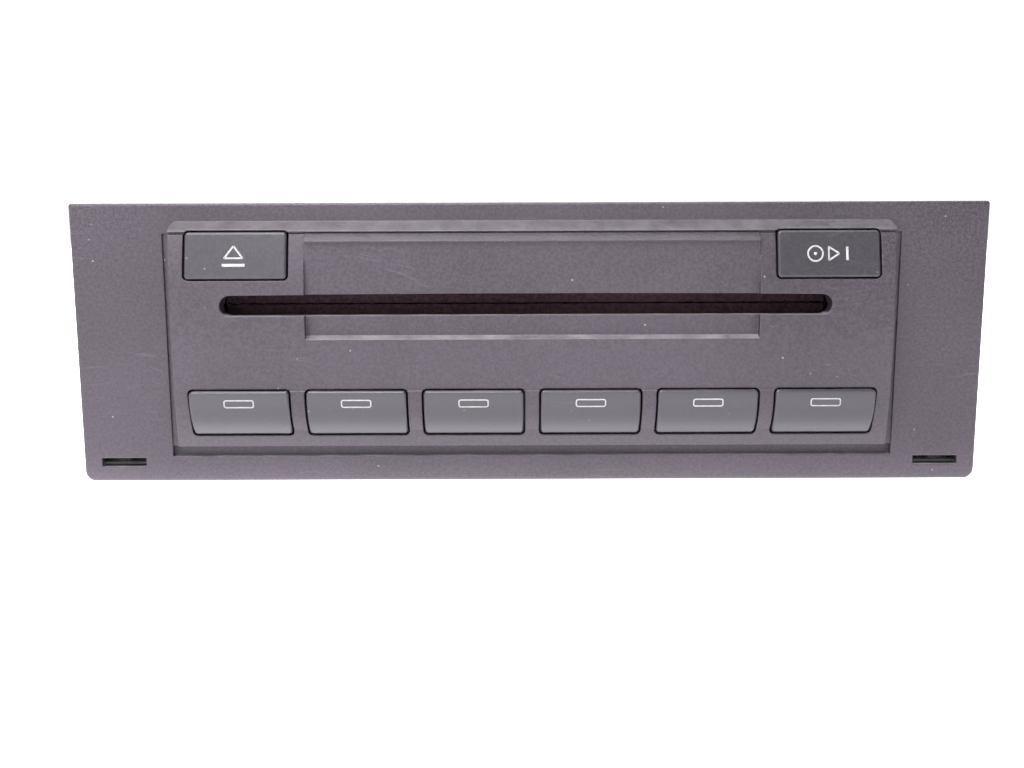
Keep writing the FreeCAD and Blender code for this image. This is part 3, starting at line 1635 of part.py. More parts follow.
def clamp_arm():
    """Pressed arm above the disc's path with side flanges, hinge pins and a hole for the puck."""
    arm = body("clamp_arm")
    low = cell.clamp_level
    high = low + cell.clamp_thickness
    half = cell.clamp_half_width
    nose = turntable_x
    tail = hinge_x + 3 * steel
    root_half = cell.clamp_hinge
    outline = [
        Line(nose, deck_y(-half)),
        Line(deck_x(cell.arm_length), deck_y(-half)),
        Line(tail, deck_y(-root_half)),
        Line(tail, deck_y(root_half)),
        Line(deck_x(cell.arm_length), deck_y(half)),
        Arc(nose, deck_y(half), nose, pivot_y),
    ]
    add(arm, "XY_Plane", low, high, outline)
    flanges = [
        rectangle((nose + 2 * half, tail), (deck_y(-half), deck_y(-half + steel))),
        rectangle((nose + 2 * half, tail), (deck_y(half - steel), deck_y(half))),
    ]
    add(arm, "XY_Plane", high, high + 1.6 * steel, *flanges)
    remove(arm, "XY_Plane", low, high, Circle(nose, pivot_y, cell.puck_stem_radius + clear))
    slot = stadium((deck_x(cell.arm_length + 30), deck_x(cell.arm_length)), span(pivot_y, half))
    remove(arm, "XY_Plane", low, high, slot)
    stub = cell.clamp_hinge + 2 * cell.deck_wall
    for side in (-1, 1):
        ends = sorted((side * (half - steel / 2), side * stub), key=lambda end: size(end).value)
        add(arm, "XZ_Plane", deck_y(ends[0]), deck_y(ends[1]),
            Circle(hinge_x, hinge_level, cell.hinge_pin_radius - clear))
    return arm


def clamp_puck():
    """Loose puck with a stem through the arm and a retaining collar above it."""
    low = cell.clamp_level - 0.3 - cell.puck_thickness
    top = cell.clamp_level + cell.clamp_thickness + 0.3
    puck = turned("clamp_puck", step_profile(
        (cell.puck_radius, low, low + cell.puck_thickness),
        (cell.puck_stem_radius, low + cell.puck_thickness, top),
        (cell.puck_stem_radius + 1.5 * steel, top, top + steel)))
    return place(puck, turntable_x, pivot_y, 0)


pickup_far = deck_x(cell.deck_reach - cell.pickup_inner)
pickup_near = pickup_far + cell.pickup_travel
rod_ends = (pickup_far - cell.pickup_length / 2 - 2, pickup_near + cell.pickup_length / 2 + 1.5)


def guide_rods():
    """Two rods that carry the pickup, held between the deck's seats."""
    parts = []
    for number, across in enumerate((cell.front_rod, cell.rear_rod), 1):
        parts.append(rod(f"guide_rod_{number}", "X", cell.rod_radius, rod_ends[0], rod_ends[1],
                         deck_y(across), cell.rod_level))
    return joined("guide_rods", *parts)


def pickup():
    """Sled with two rod bores, a drive lug on the lead screw and a seat for the lens."""
    sled = body("pickup")
    half = cell.pickup_length / 2
    low = cell.rod_level - 2
    high = cell.rod_level + 3
    body_y = (deck_y(cell.front_rod - 2.6), deck_y(cell.rear_rod + 2.6))
    sled_x = (pickup_far - half, pickup_far + half)
    add(sled, "XY_Plane", low, high, rounded(sled_x, body_y, size(1.5)))
    lug_x = (pickup_far - 2, pickup_far + 2)
    lug = rectangle(lug_x, (deck_y(cell.screw_line - 1.8), body_y[0] + 0.5))
    add(sled, "XY_Plane", low, cell.rod_level + 2.2, lug)
    bores = [Circle(deck_y(across), cell.rod_level, cell.rod_radius + clear)
             for across in (cell.front_rod, cell.rear_rod)]
    remove(sled, "YZ_Plane", sled_x[0], sled_x[1], *bores)
    remove(sled, "YZ_Plane", lug_x[0], lug_x[1],
           Circle(deck_y(cell.screw_line), cell.rod_level, cell.lead_screw_radius + clear))
    return sled


def pickup_lens():
    top = cell.rod_level + 3
    lens = turned("pickup_lens", [
        Line(0, top),
        Line(cell.lens_radius, top),
        Line(cell.lens_radius, top + 1),
        Line(cell.lens_radius * 0.7, top + 1.6),
        Line(0, top + 1.6),
    ])
    return place(lens, pickup_far, pivot_y, 0)


sled_motor_x = (rod_ends[0] - 4 - cell.sled_motor_length, rod_ends[0] - 4)


def lead_screw():
    return rod("lead_screw", "X", cell.lead_screw_radius, sled_motor_x[1] + clear, rod_ends[1] - 1,
               deck_y(cell.screw_line), cell.rod_level)


def sled_motor():
    return rod("sled_motor", "X", cell.sled_motor_radius, sled_motor_x[0], sled_motor_x[1],
               deck_y(cell.screw_line), cell.rod_level)


# Latch springs

leaf_level = cell.chassis_bottom - 0.3
leaf_front = face + cell.fascia_plate + 1


def latch_spring(name, side):
    """Leaf under the chassis edge: it bows out past the side, and a key blade pushes it in."""
    leaf = body(name)
    thick = cell.leaf_thickness
    inner = side * (cell.blade_offset - thick)
    out = side * (chassis_side + cell.leaf_bulge / 2)
    rear = leaf_front + cell.leaf_length
    crest = leaf_front + cell.leaf_length / 2 - thick
    flat = cell.leaf_flat
    skin = side * thick
    path = [
        Line(inner, leaf_front),
        Line(inner + skin, leaf_front),
        Line(inner + skin, leaf_front + flat),
        Line(out, crest),
        Line(inner + skin, rear - flat),
        Line(inner + skin, rear),
        Line(inner, rear),
        Line(inner, rear - flat),
        Line(out - skin, crest),
        Line(inner, leaf_front + flat),
    ]
    corners = path if side > 0 else path[::-1]
    add(leaf, "XY_Plane", leaf_level - cell.leaf_height, leaf_level, corners)
    foot = cell.leaf_foot
    foot_x = sorted((inner, inner - side * foot), key=lambda end: end.value)
    add(leaf, "XY_Plane", leaf_level - thick, leaf_level, rectangle(foot_x, (rear - foot, rear)))
    rivet = Circle(inner - side * foot / 2, rear - foot / 2, cell.hole_radius)
    add(leaf, "XY_Plane", leaf_level - 2 * thick, leaf_level - thick, rivet)
    return leaf


def disc_guide():
    """Ribbed plate over the roller, felted below, between the mechanism's ears."""
    guide = body("disc_guide")
    half = cell.ear_offset - steel / 2
    low = cell.slot_level + cell.disc_thickness
    high = low + 1.2 * steel
    front = wall_front + 1.5 * steel
    rear = roller_y + 4.5 * steel
    add(guide, "XY_Plane", low, high, rectangle((-half, half), (front, rear)))
    bevel_edges(guide, steel / 2,
                lambda edge: runs_along(edge, "x") and edge.BoundBox.ZMax < low.value + 0.01)
    rib = add(guide, "XY_Plane", high, high + 2 * steel, rectangle((-half, steel - half), (front, rear)))
    pitch = (2 * half - steel) / 8
    repeat(guide, rib, "X_Axis", pitch, 9)
    return guide


# The product, node by node

def build_nodes():
    nodes = [front_fascia(), corner_key("eject_button", -1), corner_key("load_button", 1)]
    nodes += [disc_key(number) for number in range(cell.disc_key_count.value)]
    nodes += [
        key_board(),
        key_switches(),
        key_leds(),
        joined("slot_felts", slot_felt("upper_felt", slot_high, slot_high + 2),
               slot_felt("lower_felt", slot_low - 3, slot_low)),
        chassis_tray(),
        top_cover(),
        rear_panel(),
        rear_connector(),
        connector_pins(),
        rear_stud(),
        main_board(),
        main_board_parts(),
        mechanism_dampers(),
        mechanism_base(),
        mechanism_top(),
        disc_guide(),
        roller_shaft(),
        roller_sleeves(),
        train_gear("roller_gear", cell.roller_teeth, roller_y, roller_level, 0),
        train_gear("load_idler", cell.idler_teeth, roller_y, idler_level, 180 / cell.idler_teeth),
        load_motor(),
        load_pinion(),
        sync_plate(),
    ]
    nodes += [lift_spindle(number, x, y) for number, (x, y) in enumerate(spindle_places(), 1)]
    nodes += [lift_motor(), lift_pinion()]
    nodes += [disc_tray(number) for number in range(1, cell.tray_count.value + 1)]
    nodes += [
        playback_deck(),
        deck_pivot(),
        spindle_motor(),
        turntable(),
        clamp_arm(),
        clamp_puck(),
        guide_rods(),
        pickup(),
        pickup_lens(),
        lead_screw(),
        sled_motor(),
        latch_spring("latch_spring_left", -1),
        latch_spring("latch_spring_right", 1),
    ]
    return nodes


def export(nodes):
    """Recomputes, checks every object and every node's shape, then writes the nodes."""
    doc.recompute()
    failed = [item.Label for item in doc.Objects if "Invalid" in item.State or "Error" in item.State]
    if failed:
        raise ValueError(f"failed objects: {failed}")
    for node in nodes:
        if node.Shape.isNull() or not node.Shape.isValid():
            raise ValueError(f"bad shape: {node.Label}")
    os.makedirs("parts", exist_ok=True)
    for node in nodes:
        node.Shape.exportStep(f"parts/{node.Label}.step")


export(build_nodes())
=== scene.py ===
import itertools
import math

import bmesh
import bpy
import numpy as np
from mathutils import Matrix, Vector


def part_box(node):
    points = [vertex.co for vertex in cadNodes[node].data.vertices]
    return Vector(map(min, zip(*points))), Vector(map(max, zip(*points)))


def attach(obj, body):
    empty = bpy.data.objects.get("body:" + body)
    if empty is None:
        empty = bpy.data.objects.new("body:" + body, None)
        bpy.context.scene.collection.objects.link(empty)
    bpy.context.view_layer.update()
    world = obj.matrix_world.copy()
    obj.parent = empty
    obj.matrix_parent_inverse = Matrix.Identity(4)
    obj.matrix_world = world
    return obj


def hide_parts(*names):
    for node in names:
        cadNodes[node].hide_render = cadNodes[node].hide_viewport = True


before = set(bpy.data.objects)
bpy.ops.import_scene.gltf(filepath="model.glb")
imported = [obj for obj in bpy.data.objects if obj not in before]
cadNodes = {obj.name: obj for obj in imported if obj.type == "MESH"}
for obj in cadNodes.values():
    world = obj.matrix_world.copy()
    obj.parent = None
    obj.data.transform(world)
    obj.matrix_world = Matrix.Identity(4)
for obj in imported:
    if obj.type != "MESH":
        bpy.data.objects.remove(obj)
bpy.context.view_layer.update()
mm = 0.001
print("frame loaded")


def addNode(tree, kind, **settings):
    node = tree.nodes.new("ShaderNode" + kind)
    for key, value in settings.items():
        setattr(node, key, value)
    return node


# a socket is linked to an input, and a plain value is set on it
def plug(tree, source, socket):
    if isinstance(source, bpy.types.NodeSocket):
        tree.links.new(source, socket)
    else:
        socket.default_value = source


# each keyword names an input of the node, with underscores for spaces
def feed(tree, node, **inputs):
    for label, source in inputs.items():
        plug(tree, source, node.inputs[label.replace("_", " ")])
    return node


def mathNode(tree, operation, first, second=0.0, clamp=False):
    node = addNode(tree, "Math", operation=operation, use_clamp=clamp)
    plug(tree, first, node.inputs[0])
    plug(tree, second, node.inputs[1])
    return node.outputs[0]


def times(tree, first, second, clamp=False):
    return mathNode(tree, "MULTIPLY", first, second, clamp)


def plus(tree, first, second, clamp=False):
    return mathNode(tree, "ADD", first, second, clamp)


# a smooth rise from toLow to toHigh while the value goes from low to high
def spread(tree, value, low, high, toLow=0.0, toHigh=1.0):
    node = addNode(tree, "MapRange", interpolation_type="SMOOTHSTEP")
    feed(tree, node, Value=value, From_Min=low, From_Max=high, To_Min=toLow, To_Max=toHigh)
    return node.outputs["Result"]


# the color sockets of a Mix node are its inputs 6 and 7 and its output 2, and input 0 is the share
def mixColor(tree, share, first, second):
    node = addNode(tree, "Mix", data_type="RGBA")
    plug(tree, share, node.inputs[0])
    for color, socket in ((first, node.inputs[6]), (second, node.inputs[7])):
        plug(tree, color if isinstance(color, bpy.types.NodeSocket) else (*color, 1), socket)
    return node.outputs[2]


def stretched(tree, vector, scale, turn=(0, 0, 0)):
    node = addNode(tree, "Mapping")
    feed(tree, node, Vector=vector, Scale=scale, Rotation=turn)
    return node.outputs["Vector"]


def noise(tree, vector, scale, detail=2.0, roughness=0.5):
    node = addNode(tree, "TexNoise")
    feed(tree, node, Vector=vector, Scale=scale, Detail=detail, Roughness=roughness)
    return node.outputs["Fac"]


def newGroup(name, inputs, outputs):
    group = bpy.data.node_groups.new(name, "ShaderNodeTree")
    for label, kind, value in inputs:
        socket = group.interface.new_socket(label, in_out="INPUT", socket_type="NodeSocket" + kind)
        if value is not None:
            socket.default_value = value
    for label, kind in outputs:
        group.interface.new_socket(label, in_out="OUTPUT", socket_type="NodeSocket" + kind)
    return group, group.nodes.new("NodeGroupInput"), group.nodes.new("NodeGroupOutput")


def placeGroup(tree, group, **inputs):
    node = tree.nodes.new("ShaderNodeGroup")
    node.node_tree = group
    return feed(tree, node, **inputs).outputs


grainPlan = {
    "clumpShare": 0.4, "broadScale": 28.0, "cloud": (0.3, 0.7), "spark": (0.8, 1.2),
    "cloudWeight": 0.35, "sparkWeight": 0.65,
}


# moulded grain: fine pits over clumps and broad clouds. Height is the pits, and shade is the weighted sum of
# clouds and of sparks, where pits and clumps together are high
def makeGrainGroup():
    plan = grainPlan
    group, source, sink = newGroup(
        "mouldGrain",
        [("Vector", "Vector", None), ("Size", "Float", 0.0003)],
        [("Height", "Float"), ("Shade", "Float")],
    )
    place = source.outputs["Vector"]
    cells = mathNode(group, "DIVIDE", 1.0, source.outputs["Size"])
    pits = noise(group, place, cells, detail=3, roughness=0.65)
    clumps = noise(group, place, times(group, cells, plan["clumpShare"]), detail=2)
    broad = noise(group, place, plan["broadScale"], detail=4, roughness=0.55)
    clouds = spread(group, broad, *plan["cloud"])
    sparks = spread(group, plus(group, pits, clumps), *plan["spark"])
    shade = plus(group, times(group, clouds, plan["cloudWeight"]), times(group, sparks, plan["sparkWeight"]))
    group.links.new(pits, sink.inputs["Height"])
    group.links.new(shade, sink.inputs["Shade"])
    return group


edgePlan = {"samples": 6, "bend": (0.02, 0.3), "rubScale": 260.0, "rub": (0.35, 0.65), "leastRub": 0.35}


# edges: one less the cosine between the true normal and a rounded one, rubbed unevenly by noise. Their paler
# colour is partly wear and partly a painted highlight
def makeEdgeGroup():
    plan = edgePlan
    group, source, sink = newGroup(
        "edgeWearAndHighlight",
        [("Vector", "Vector", None), ("Radius", "Float", 0.0003), ("Amount", "Float", 1.0)],
        [("Mask", "Float"), ("Normal", "Vector")],
    )
    rounded = addNode(group, "Bevel", samples=plan["samples"])
    feed(group, rounded, Radius=source.outputs["Radius"])
    geometry = addNode(group, "NewGeometry")
    dot = addNode(group, "VectorMath", operation="DOT_PRODUCT")
    group.links.new(rounded.outputs["Normal"], dot.inputs[0])
    group.links.new(geometry.outputs["Normal"], dot.inputs[1])
    edge = spread(group, mathNode(group, "SUBTRACT", 1.0, dot.outputs["Value"]), *plan["bend"])
    worn = noise(group, source.outputs["Vector"], plan["rubScale"], detail=3)
    rub = spread(group, worn, *plan["rub"], plan["leastRub"], 1.0)
    mask = times(group, times(group, edge, rub), source.outputs["Amount"], clamp=True)
    group.links.new(mask, sink.inputs["Mask"])
    group.links.new(rounded.outputs["Normal"], sink.inputs["Normal"])
    return group


dustAndTopLightPlan = {
    "upward": (0.7, 0.98), "patchScale": 170.0, "patch": (0.0, 1.0),
    "speckScale": 420.0, "speckEdge": (0.11, 0.05), "rareScale": 95.0, "rare": (0.53, 0.68),
}


# dust and painted top light: a patchy film on faces that look up, which is dust and a painted highlight of
# light from above, and specks of dust on any face, round the centres of cells where slow noise is high
def makeDustAndTopLightGroup():
    plan = dustAndTopLightPlan
    group, source, sink = newGroup(
        "dustAndTopLight",
        [("Vector", "Vector", None), ("Film", "Float", 0.3), ("Specks", "Float", 0.5)],
        [("Mask", "Float")],
    )
    place = source.outputs["Vector"]
    geometry = addNode(group, "NewGeometry")
    split = addNode(group, "SeparateXYZ")
    group.links.new(geometry.outputs["Normal"], split.inputs[0])
    upward = spread(group, split.outputs["Z"], *plan["upward"])
    patch = spread(group, noise(group, place, plan["patchScale"], detail=6, roughness=0.6), *plan["patch"])
    # the film on faces that look up is dust and a painted highlight of light from above
    dustAndTopLightFilm = times(group, times(group, upward, patch), source.outputs["Film"])
    cells = addNode(group, "TexVoronoi", feature="F1")
    feed(group, cells, Vector=place, Scale=plan["speckScale"], Randomness=1.0)
    dots = spread(group, cells.outputs["Distance"], *plan["speckEdge"])
    rare = spread(group, noise(group, place, plan["rareScale"], detail=2), *plan["rare"])
    specks = times(group, times(group, dots, rare), source.outputs["Specks"])
    group.links.new(mathNode(group, "MAXIMUM", dustAndTopLightFilm, specks, clamp=True), sink.inputs["Mask"])
    return group


# each run of hairlines is its turn about y in radians, its noise scale and the noise level it starts at
scratchPlan = {
    "runs": ((0.75, 2600.0, 0.735), (-0.95, 3100.0, 0.74), (1.45, 2300.0, 0.745)),
    "narrow": (0.035, 0.035, 1.0), "fade": 0.05, "driftScale": 60.0, "drift": 0.012,
    "patchScale": 45.0, "patch": (0.54, 0.68),
}


# hairlines: the peaks of noise stretched along three directions, kept in patches. The place is first moved
# by slow noise, which bends them
def makeScratchGroup():
    plan = scratchPlan
    group, source, sink = newGroup(
        "hairlines",
        [("Vector", "Vector", None), ("Amount", "Float", 0.3)],
        [("Mask", "Float")],
    )
    place = source.outputs["Vector"]
    wander = addNode(group, "TexNoise")
    feed(group, wander, Vector=place, Scale=plan["driftScale"], Detail=1.0)
    drift = addNode(group, "VectorMath", operation="SCALE")
    feed(group, drift, Vector=wander.outputs["Color"], Scale=plan["drift"])
    bend = addNode(group, "VectorMath", operation="ADD")
    group.links.new(place, bend.inputs[0])
    group.links.new(drift.outputs[0], bend.inputs[1])
    lines = None
    for turn, scale, level in plan["runs"]:
        vector = stretched(group, bend.outputs[0], plan["narrow"], (0, turn, 0))
        streak = spread(group, noise(group, vector, scale, detail=0), level, level + plan["fade"])
        lines = streak if lines is None else mathNode(group, "MAXIMUM", lines, streak)
    patch = spread(group, noise(group, place, plan["patchScale"], detail=2), *plan["patch"])
    mask = times(group, times(group, lines, patch), source.outputs["Amount"], clamp=True)
    group.links.new(mask, sink.inputs["Mask"])
    return group


rollingPlan = {
    "along": (1.0, 0.02, 1.0), "lineScale": 1500.0, "broadScale": 18.0,
    "flakeWeight": 0.45, "lineWeight": 0.3, "broadWeight": 0.25,
}


# rolled sheet: height is the fine rolling lines, and shade is the weighted sum of zinc flakes, those lines
# and slow tone changes
def makeSheetGroup():
    plan = rollingPlan
    group, source, sink = newGroup(
        "rolledSheet",
        [("Vector", "Vector", None), ("Flake", "Float", 0.004)],
        [("Shade", "Float"), ("Height", "Float")],
    )
    place = source.outputs["Vector"]
    cells = addNode(group, "TexVoronoi", feature="F1")
    feed(group, cells, Vector=place, Randomness=1.0)
    group.links.new(mathNode(group, "DIVIDE", 1.0, source.outputs["Flake"]), cells.inputs["Scale"])
    flake = addNode(group, "SeparateColor")
    group.links.new(cells.outputs["Color"], flake.inputs[0])
    rolled = noise(group, stretched(group, place, plan["along"]), plan["lineScale"], detail=2)
    broad = noise(group, place, plan["broadScale"], detail=3)
    shade = plus(group, times(group, flake.outputs[0], plan["flakeWeight"]),
                 times(group, rolled, plan["lineWeight"]))
    shade = plus(group, shade, times(group, broad, plan["broadWeight"]))
    group.links.new(shade, sink.inputs["Shade"])
    group.links.new(rolled, sink.inputs["Height"])
    return group


grainGroup = makeGrainGroup()
edgeGroup = makeEdgeGroup()
dustAndTopLightGroup = makeDustAndTopLightGroup()
scratchGroup = makeScratchGroup()
sheetGroup = makeSheetGroup()


def newMaterial(name):
    material = bpy.data.materials.new(name)
    material.use_nodes = True
    tree = material.node_tree
    tree.nodes.clear()
    shader = addNode(tree, "BsdfPrincipled")
    output = addNode(tree, "OutputMaterial")
    tree.links.new(shader.outputs[0], output.inputs[0])
    place = addNode(tree, "TexCoord").outputs["Object"]
    return material, tree, shader, place


mouldedPlan = {"shade": (0.2, 0.8), "dustRough": 0.2, "bumpShare": 0.3}


# a moulded surface: two tones under grain, paler edges of wear and painted highlight, dust with painted top
# light, and hairlines
def mouldedMaterial(name, look):
    plan = mouldedPlan
    material, tree, shader, place = newMaterial(name)
    grain = placeGroup(tree, grainGroup, Vector=place, Size=look["grain"])
    edge = placeGroup(tree, edgeGroup, Vector=place, Radius=look["edge"], Amount=look["edgeAmount"])
    dustAndTopLight = placeGroup(tree, dustAndTopLightGroup, Vector=place, Film=look["dustAndTopLightFilm"], Specks=look["specks"])
    lines = placeGroup(tree, scratchGroup, Vector=place, Amount=look["lines"])
    color = mixColor(tree, grain["Shade"], look["dark"], look["light"])
    # paler edges: wear and a painted highlight
    color = mixColor(tree, edge["Mask"], color, look["edgeWearAndHighlightColor"])
    color = mixColor(tree, lines["Mask"], color, look["lineColor"])
    # dust, with a painted highlight of light from above on faces that look up
    color = mixColor(tree, dustAndTopLight["Mask"], color, look["dustAndTopLightColor"])
    rough = spread(tree, grain["Shade"], *plan["shade"], *look["rough"])
    rough = plus(tree, rough, times(tree, dustAndTopLight["Mask"], plan["dustRough"]), clamp=True)
    bump = addNode(tree, "Bump")
    feed(tree, bump, Height=grain["Height"], Strength=look["depth"],
         Distance=look["grain"] * plan["bumpShare"], Normal=edge["Normal"])
    feed(tree, shader, Base_Color=color, Roughness=rough, Normal=bump.outputs[0],
         Specular_IOR_Level=look["specular"], Specular_Tint=(*look["tint"], 1))
    return material


metalPlan = {"shade": (0.15, 0.85), "dustRough": 0.3, "bump": 0.00002, "dustAndTopLightColor": (0.45, 0.43, 0.4)}


# a metal surface: rolled shade, brighter edges of wear and painted highlight, and dust with painted top
# light, which is no metal
def metalMaterial(name, look):
    plan = metalPlan
    material, tree, shader, place = newMaterial(name)
    sheet = placeGroup(tree, sheetGroup, Vector=place, Flake=look["flake"])
    edge = placeGroup(tree, edgeGroup, Vector=place, Radius=look["edge"], Amount=look["edgeAmount"])
    dustAndTopLight = placeGroup(tree, dustAndTopLightGroup, Vector=place, Film=look["dustAndTopLightFilm"], Specks=look["specks"])
    color = mixColor(tree, sheet["Shade"], look["dark"], look["light"])
    # brighter edges: wear and a painted highlight
    color = mixColor(tree, edge["Mask"], color, look["edgeWearAndHighlightColor"])
    # dust, with a painted highlight of light from above on faces that look up
    color = mixColor(tree, dustAndTopLight["Mask"], color, plan["dustAndTopLightColor"])
    rough = spread(tree, sheet["Shade"], *plan["shade"], *look["rough"])
    rough = plus(tree, rough, times(tree, dustAndTopLight["Mask"], plan["dustRough"]), clamp=True)
    metallic = times(tree, mathNode(tree, "SUBTRACT", 1.0, dustAndTopLight["Mask"]), look["metal"])
    bump = addNode(tree, "Bump")
    feed(tree, bump, Height=sheet["Height"], Strength=look["depth"], Distance=plan["bump"],
         Normal=edge["Normal"])
    feed(tree, shader, Base_Color=color, Roughness=rough, Metallic=metallic, Normal=bump.outputs[0])
    return material


# in each look, grain, flake and edge are lengths in metres
# in the looks, the film on faces that look up is dust and a painted highlight of light from above, and the
# edge colour is wear and a painted highlight
fasciaLook = {
    "dark": (0.011, 0.0075, 0.012), "light": (0.046, 0.034, 0.047), "grain": 0.00026, "depth": 1.0,
    "edge": 0.0004, "edgeAmount": 0.3, "edgeWearAndHighlightColor": (0.14, 0.125, 0.145), "dustAndTopLightFilm": 0.75, "specks": 0.5,
    "lines": 0.19, "lineColor": (0.13, 0.12, 0.14), "dustAndTopLightColor": (0.42, 0.4, 0.42), "rough": (0.42, 0.5),
    "specular": 0.82, "tint": (0.97, 0.91, 1.0),
}
keyLook = dict(fasciaLook, dark=(0.018, 0.0145, 0.0195), light=(0.027, 0.0228, 0.029), grain=0.00022,
               depth=0.3, rough=(0.33, 0.4), edge=0.0003, edgeAmount=0.45, lines=0.12, specks=0.3,
               specular=1.0, tint=(0.94, 0.93, 1.0))
plainLook = dict(fasciaLook, specular=0.5, tint=(1, 1, 1))  # the other plastics reflect white
blackLook = dict(plainLook, dark=(0.016, 0.015, 0.016), light=(0.026, 0.025, 0.027),
                 edgeWearAndHighlightColor=(0.06, 0.06, 0.06), rough=(0.4, 0.52), specks=0.2, dustAndTopLightFilm=0.3, lines=0.2,
                 lineColor=(0.07, 0.07, 0.07))
trayLook = dict(blackLook, dark=(0.03, 0.03, 0.032), light=(0.045, 0.045, 0.048), rough=(0.36, 0.48))
acetalLook = dict(plainLook, dark=(0.62, 0.6, 0.54), light=(0.74, 0.72, 0.66), edgeWearAndHighlightColor=(0.8, 0.79, 0.75),
                  rough=(0.3, 0.42), depth=0.1, specks=0.1, dustAndTopLightFilm=0.1, lines=0.1)
rubberLook = dict(blackLook, dark=(0.012, 0.012, 0.012), light=(0.022, 0.021, 0.02), rough=(0.62, 0.78),
                  depth=0.3, lines=0.0)
feltLook = dict(blackLook, dark=(0.016, 0.008, 0.011), light=(0.045, 0.025, 0.031), rough=(0.9, 1.0),
                depth=1.0, grain=0.00035, edgeAmount=0.0, lines=0.0, specular=0.15, dustAndTopLightFilm=0.05, specks=0.05)
boardLook = dict(plainLook, dark=(0.006, 0.05, 0.02), light=(0.012, 0.085, 0.035),
                 edgeWearAndHighlightColor=(0.35, 0.33, 0.2), rough=(0.3, 0.42), depth=0.15, grain=0.0006, specks=0.1,
                 dustAndTopLightFilm=0.2, lines=0.05)
chipLook = dict(blackLook, dark=(0.01, 0.01, 0.01), light=(0.02, 0.02, 0.02), rough=(0.45, 0.6))
ledLook = dict(plainLook, dark=(0.72, 0.66, 0.4), light=(0.85, 0.8, 0.55), rough=(0.15, 0.3), depth=0.05,
               edgeAmount=0.1, specks=0.0, dustAndTopLightFilm=0.05, lines=0.0)
paintLook = dict(plainLook, specular=0.4, dark=(0.4, 0.395, 0.41), light=(0.56, 0.555, 0.57),
                 edgeWearAndHighlightColor=(0.7, 0.69, 0.7), edgeAmount=0.0, rough=(0.45, 0.6), depth=0.1, specks=0.05,
                 dustAndTopLightFilm=0.0, lines=0.1)
sheetLook = {
    "dark": (0.14, 0.144, 0.147), "light": (0.235, 0.24, 0.243), "flake": 0.0026,
    "edge": 0.0004, "edgeAmount": 0.6, "edgeWearAndHighlightColor": (0.42, 0.42, 0.43), "dustAndTopLightFilm": 0.12, "specks": 0.2,
    "rough": (0.3, 0.46), "metal": 1.0, "depth": 0.3,
}
brightLook = dict(sheetLook, dark=(0.3, 0.3, 0.305), light=(0.44, 0.44, 0.45), rough=(0.16, 0.28), flake=0.02)
springLook = dict(sheetLook, dark=(0.05, 0.049, 0.047), light=(0.09, 0.088, 0.085), rough=(0.24, 0.36),
                  flake=0.02)
blackSteelLook = dict(sheetLook, dark=(0.03, 0.03, 0.032), light=(0.06, 0.06, 0.063), rough=(0.35, 0.5),
                      metal=0.7, flake=0.02, edgeWearAndHighlightColor=(0.2, 0.2, 0.2), dustAndTopLightFilm=0.1)
goldLook = dict(sheetLook, dark=(0.6, 0.42, 0.14), light=(0.8, 0.6, 0.25), rough=(0.2, 0.32), flake=0.02)
canLook = dict(sheetLook, dark=(0.27, 0.27, 0.265), light=(0.38, 0.375, 0.365), rough=(0.22, 0.34),
               flake=0.02)
lensLook = {"color": (0.5, 0.55, 0.75), "dustAndTopLightColor": (0.6, 0.6, 0.6), "dustAndTopLightFilm": 0.2, "specks": 0.1,
            "rough": (0.04, 0.5), "coat": 1.0, "through": 0.6}


# coated lens: tinted glass with a faint film of dust, which is partly a painted highlight where it faces up
def lensMaterial(name, look):
    material, tree, shader, place = newMaterial(name)
    dustAndTopLight = placeGroup(tree, dustAndTopLightGroup, Vector=place, Film=look["dustAndTopLightFilm"], Specks=look["specks"])
    color = mixColor(tree, dustAndTopLight["Mask"], look["color"], look["dustAndTopLightColor"])
    rough = spread(tree, dustAndTopLight["Mask"], 0.0, 1.0, *look["rough"])
    feed(tree, shader, Base_Color=color, Roughness=rough, Coat_Weight=look["coat"],
         Transmission_Weight=look["through"])
    return material


finishes = {
    "fascia": mouldedMaterial("fasciaGrain", fasciaLook),
    "key": mouldedMaterial("keySatin", keyLook),
    "black": mouldedMaterial("blackMoulding", blackLook),
    "tray": mouldedMaterial("trayMoulding", trayLook),
    "acetal": mouldedMaterial("acetal", acetalLook),
    "rubber": mouldedMaterial("rubber", rubberLook),
    "felt": mouldedMaterial("felt", feltLook),
    "board": mouldedMaterial("solderResist", boardLook),
    "chip": mouldedMaterial("chipEpoxy", chipLook),
    "led": mouldedMaterial("ledLens", ledLook),
    "paint": mouldedMaterial("printedWhite", paintLook),
    "sheet": metalMaterial("zincSheet", sheetLook),
    "bright": metalMaterial("groundSteel", brightLook),
    "spring": metalMaterial("springSteel", springLook),
    "blackSteel": metalMaterial("blackSteel", blackSteelLook),
    "gold": metalMaterial("goldPlate", goldLook),
    "can": metalMaterial("nickelCan", canLook),
    "lens": lensMaterial("coatedLens", lensLook),
}
print("finishes made:", len(finishes))


discNumbers = range(1, 7)

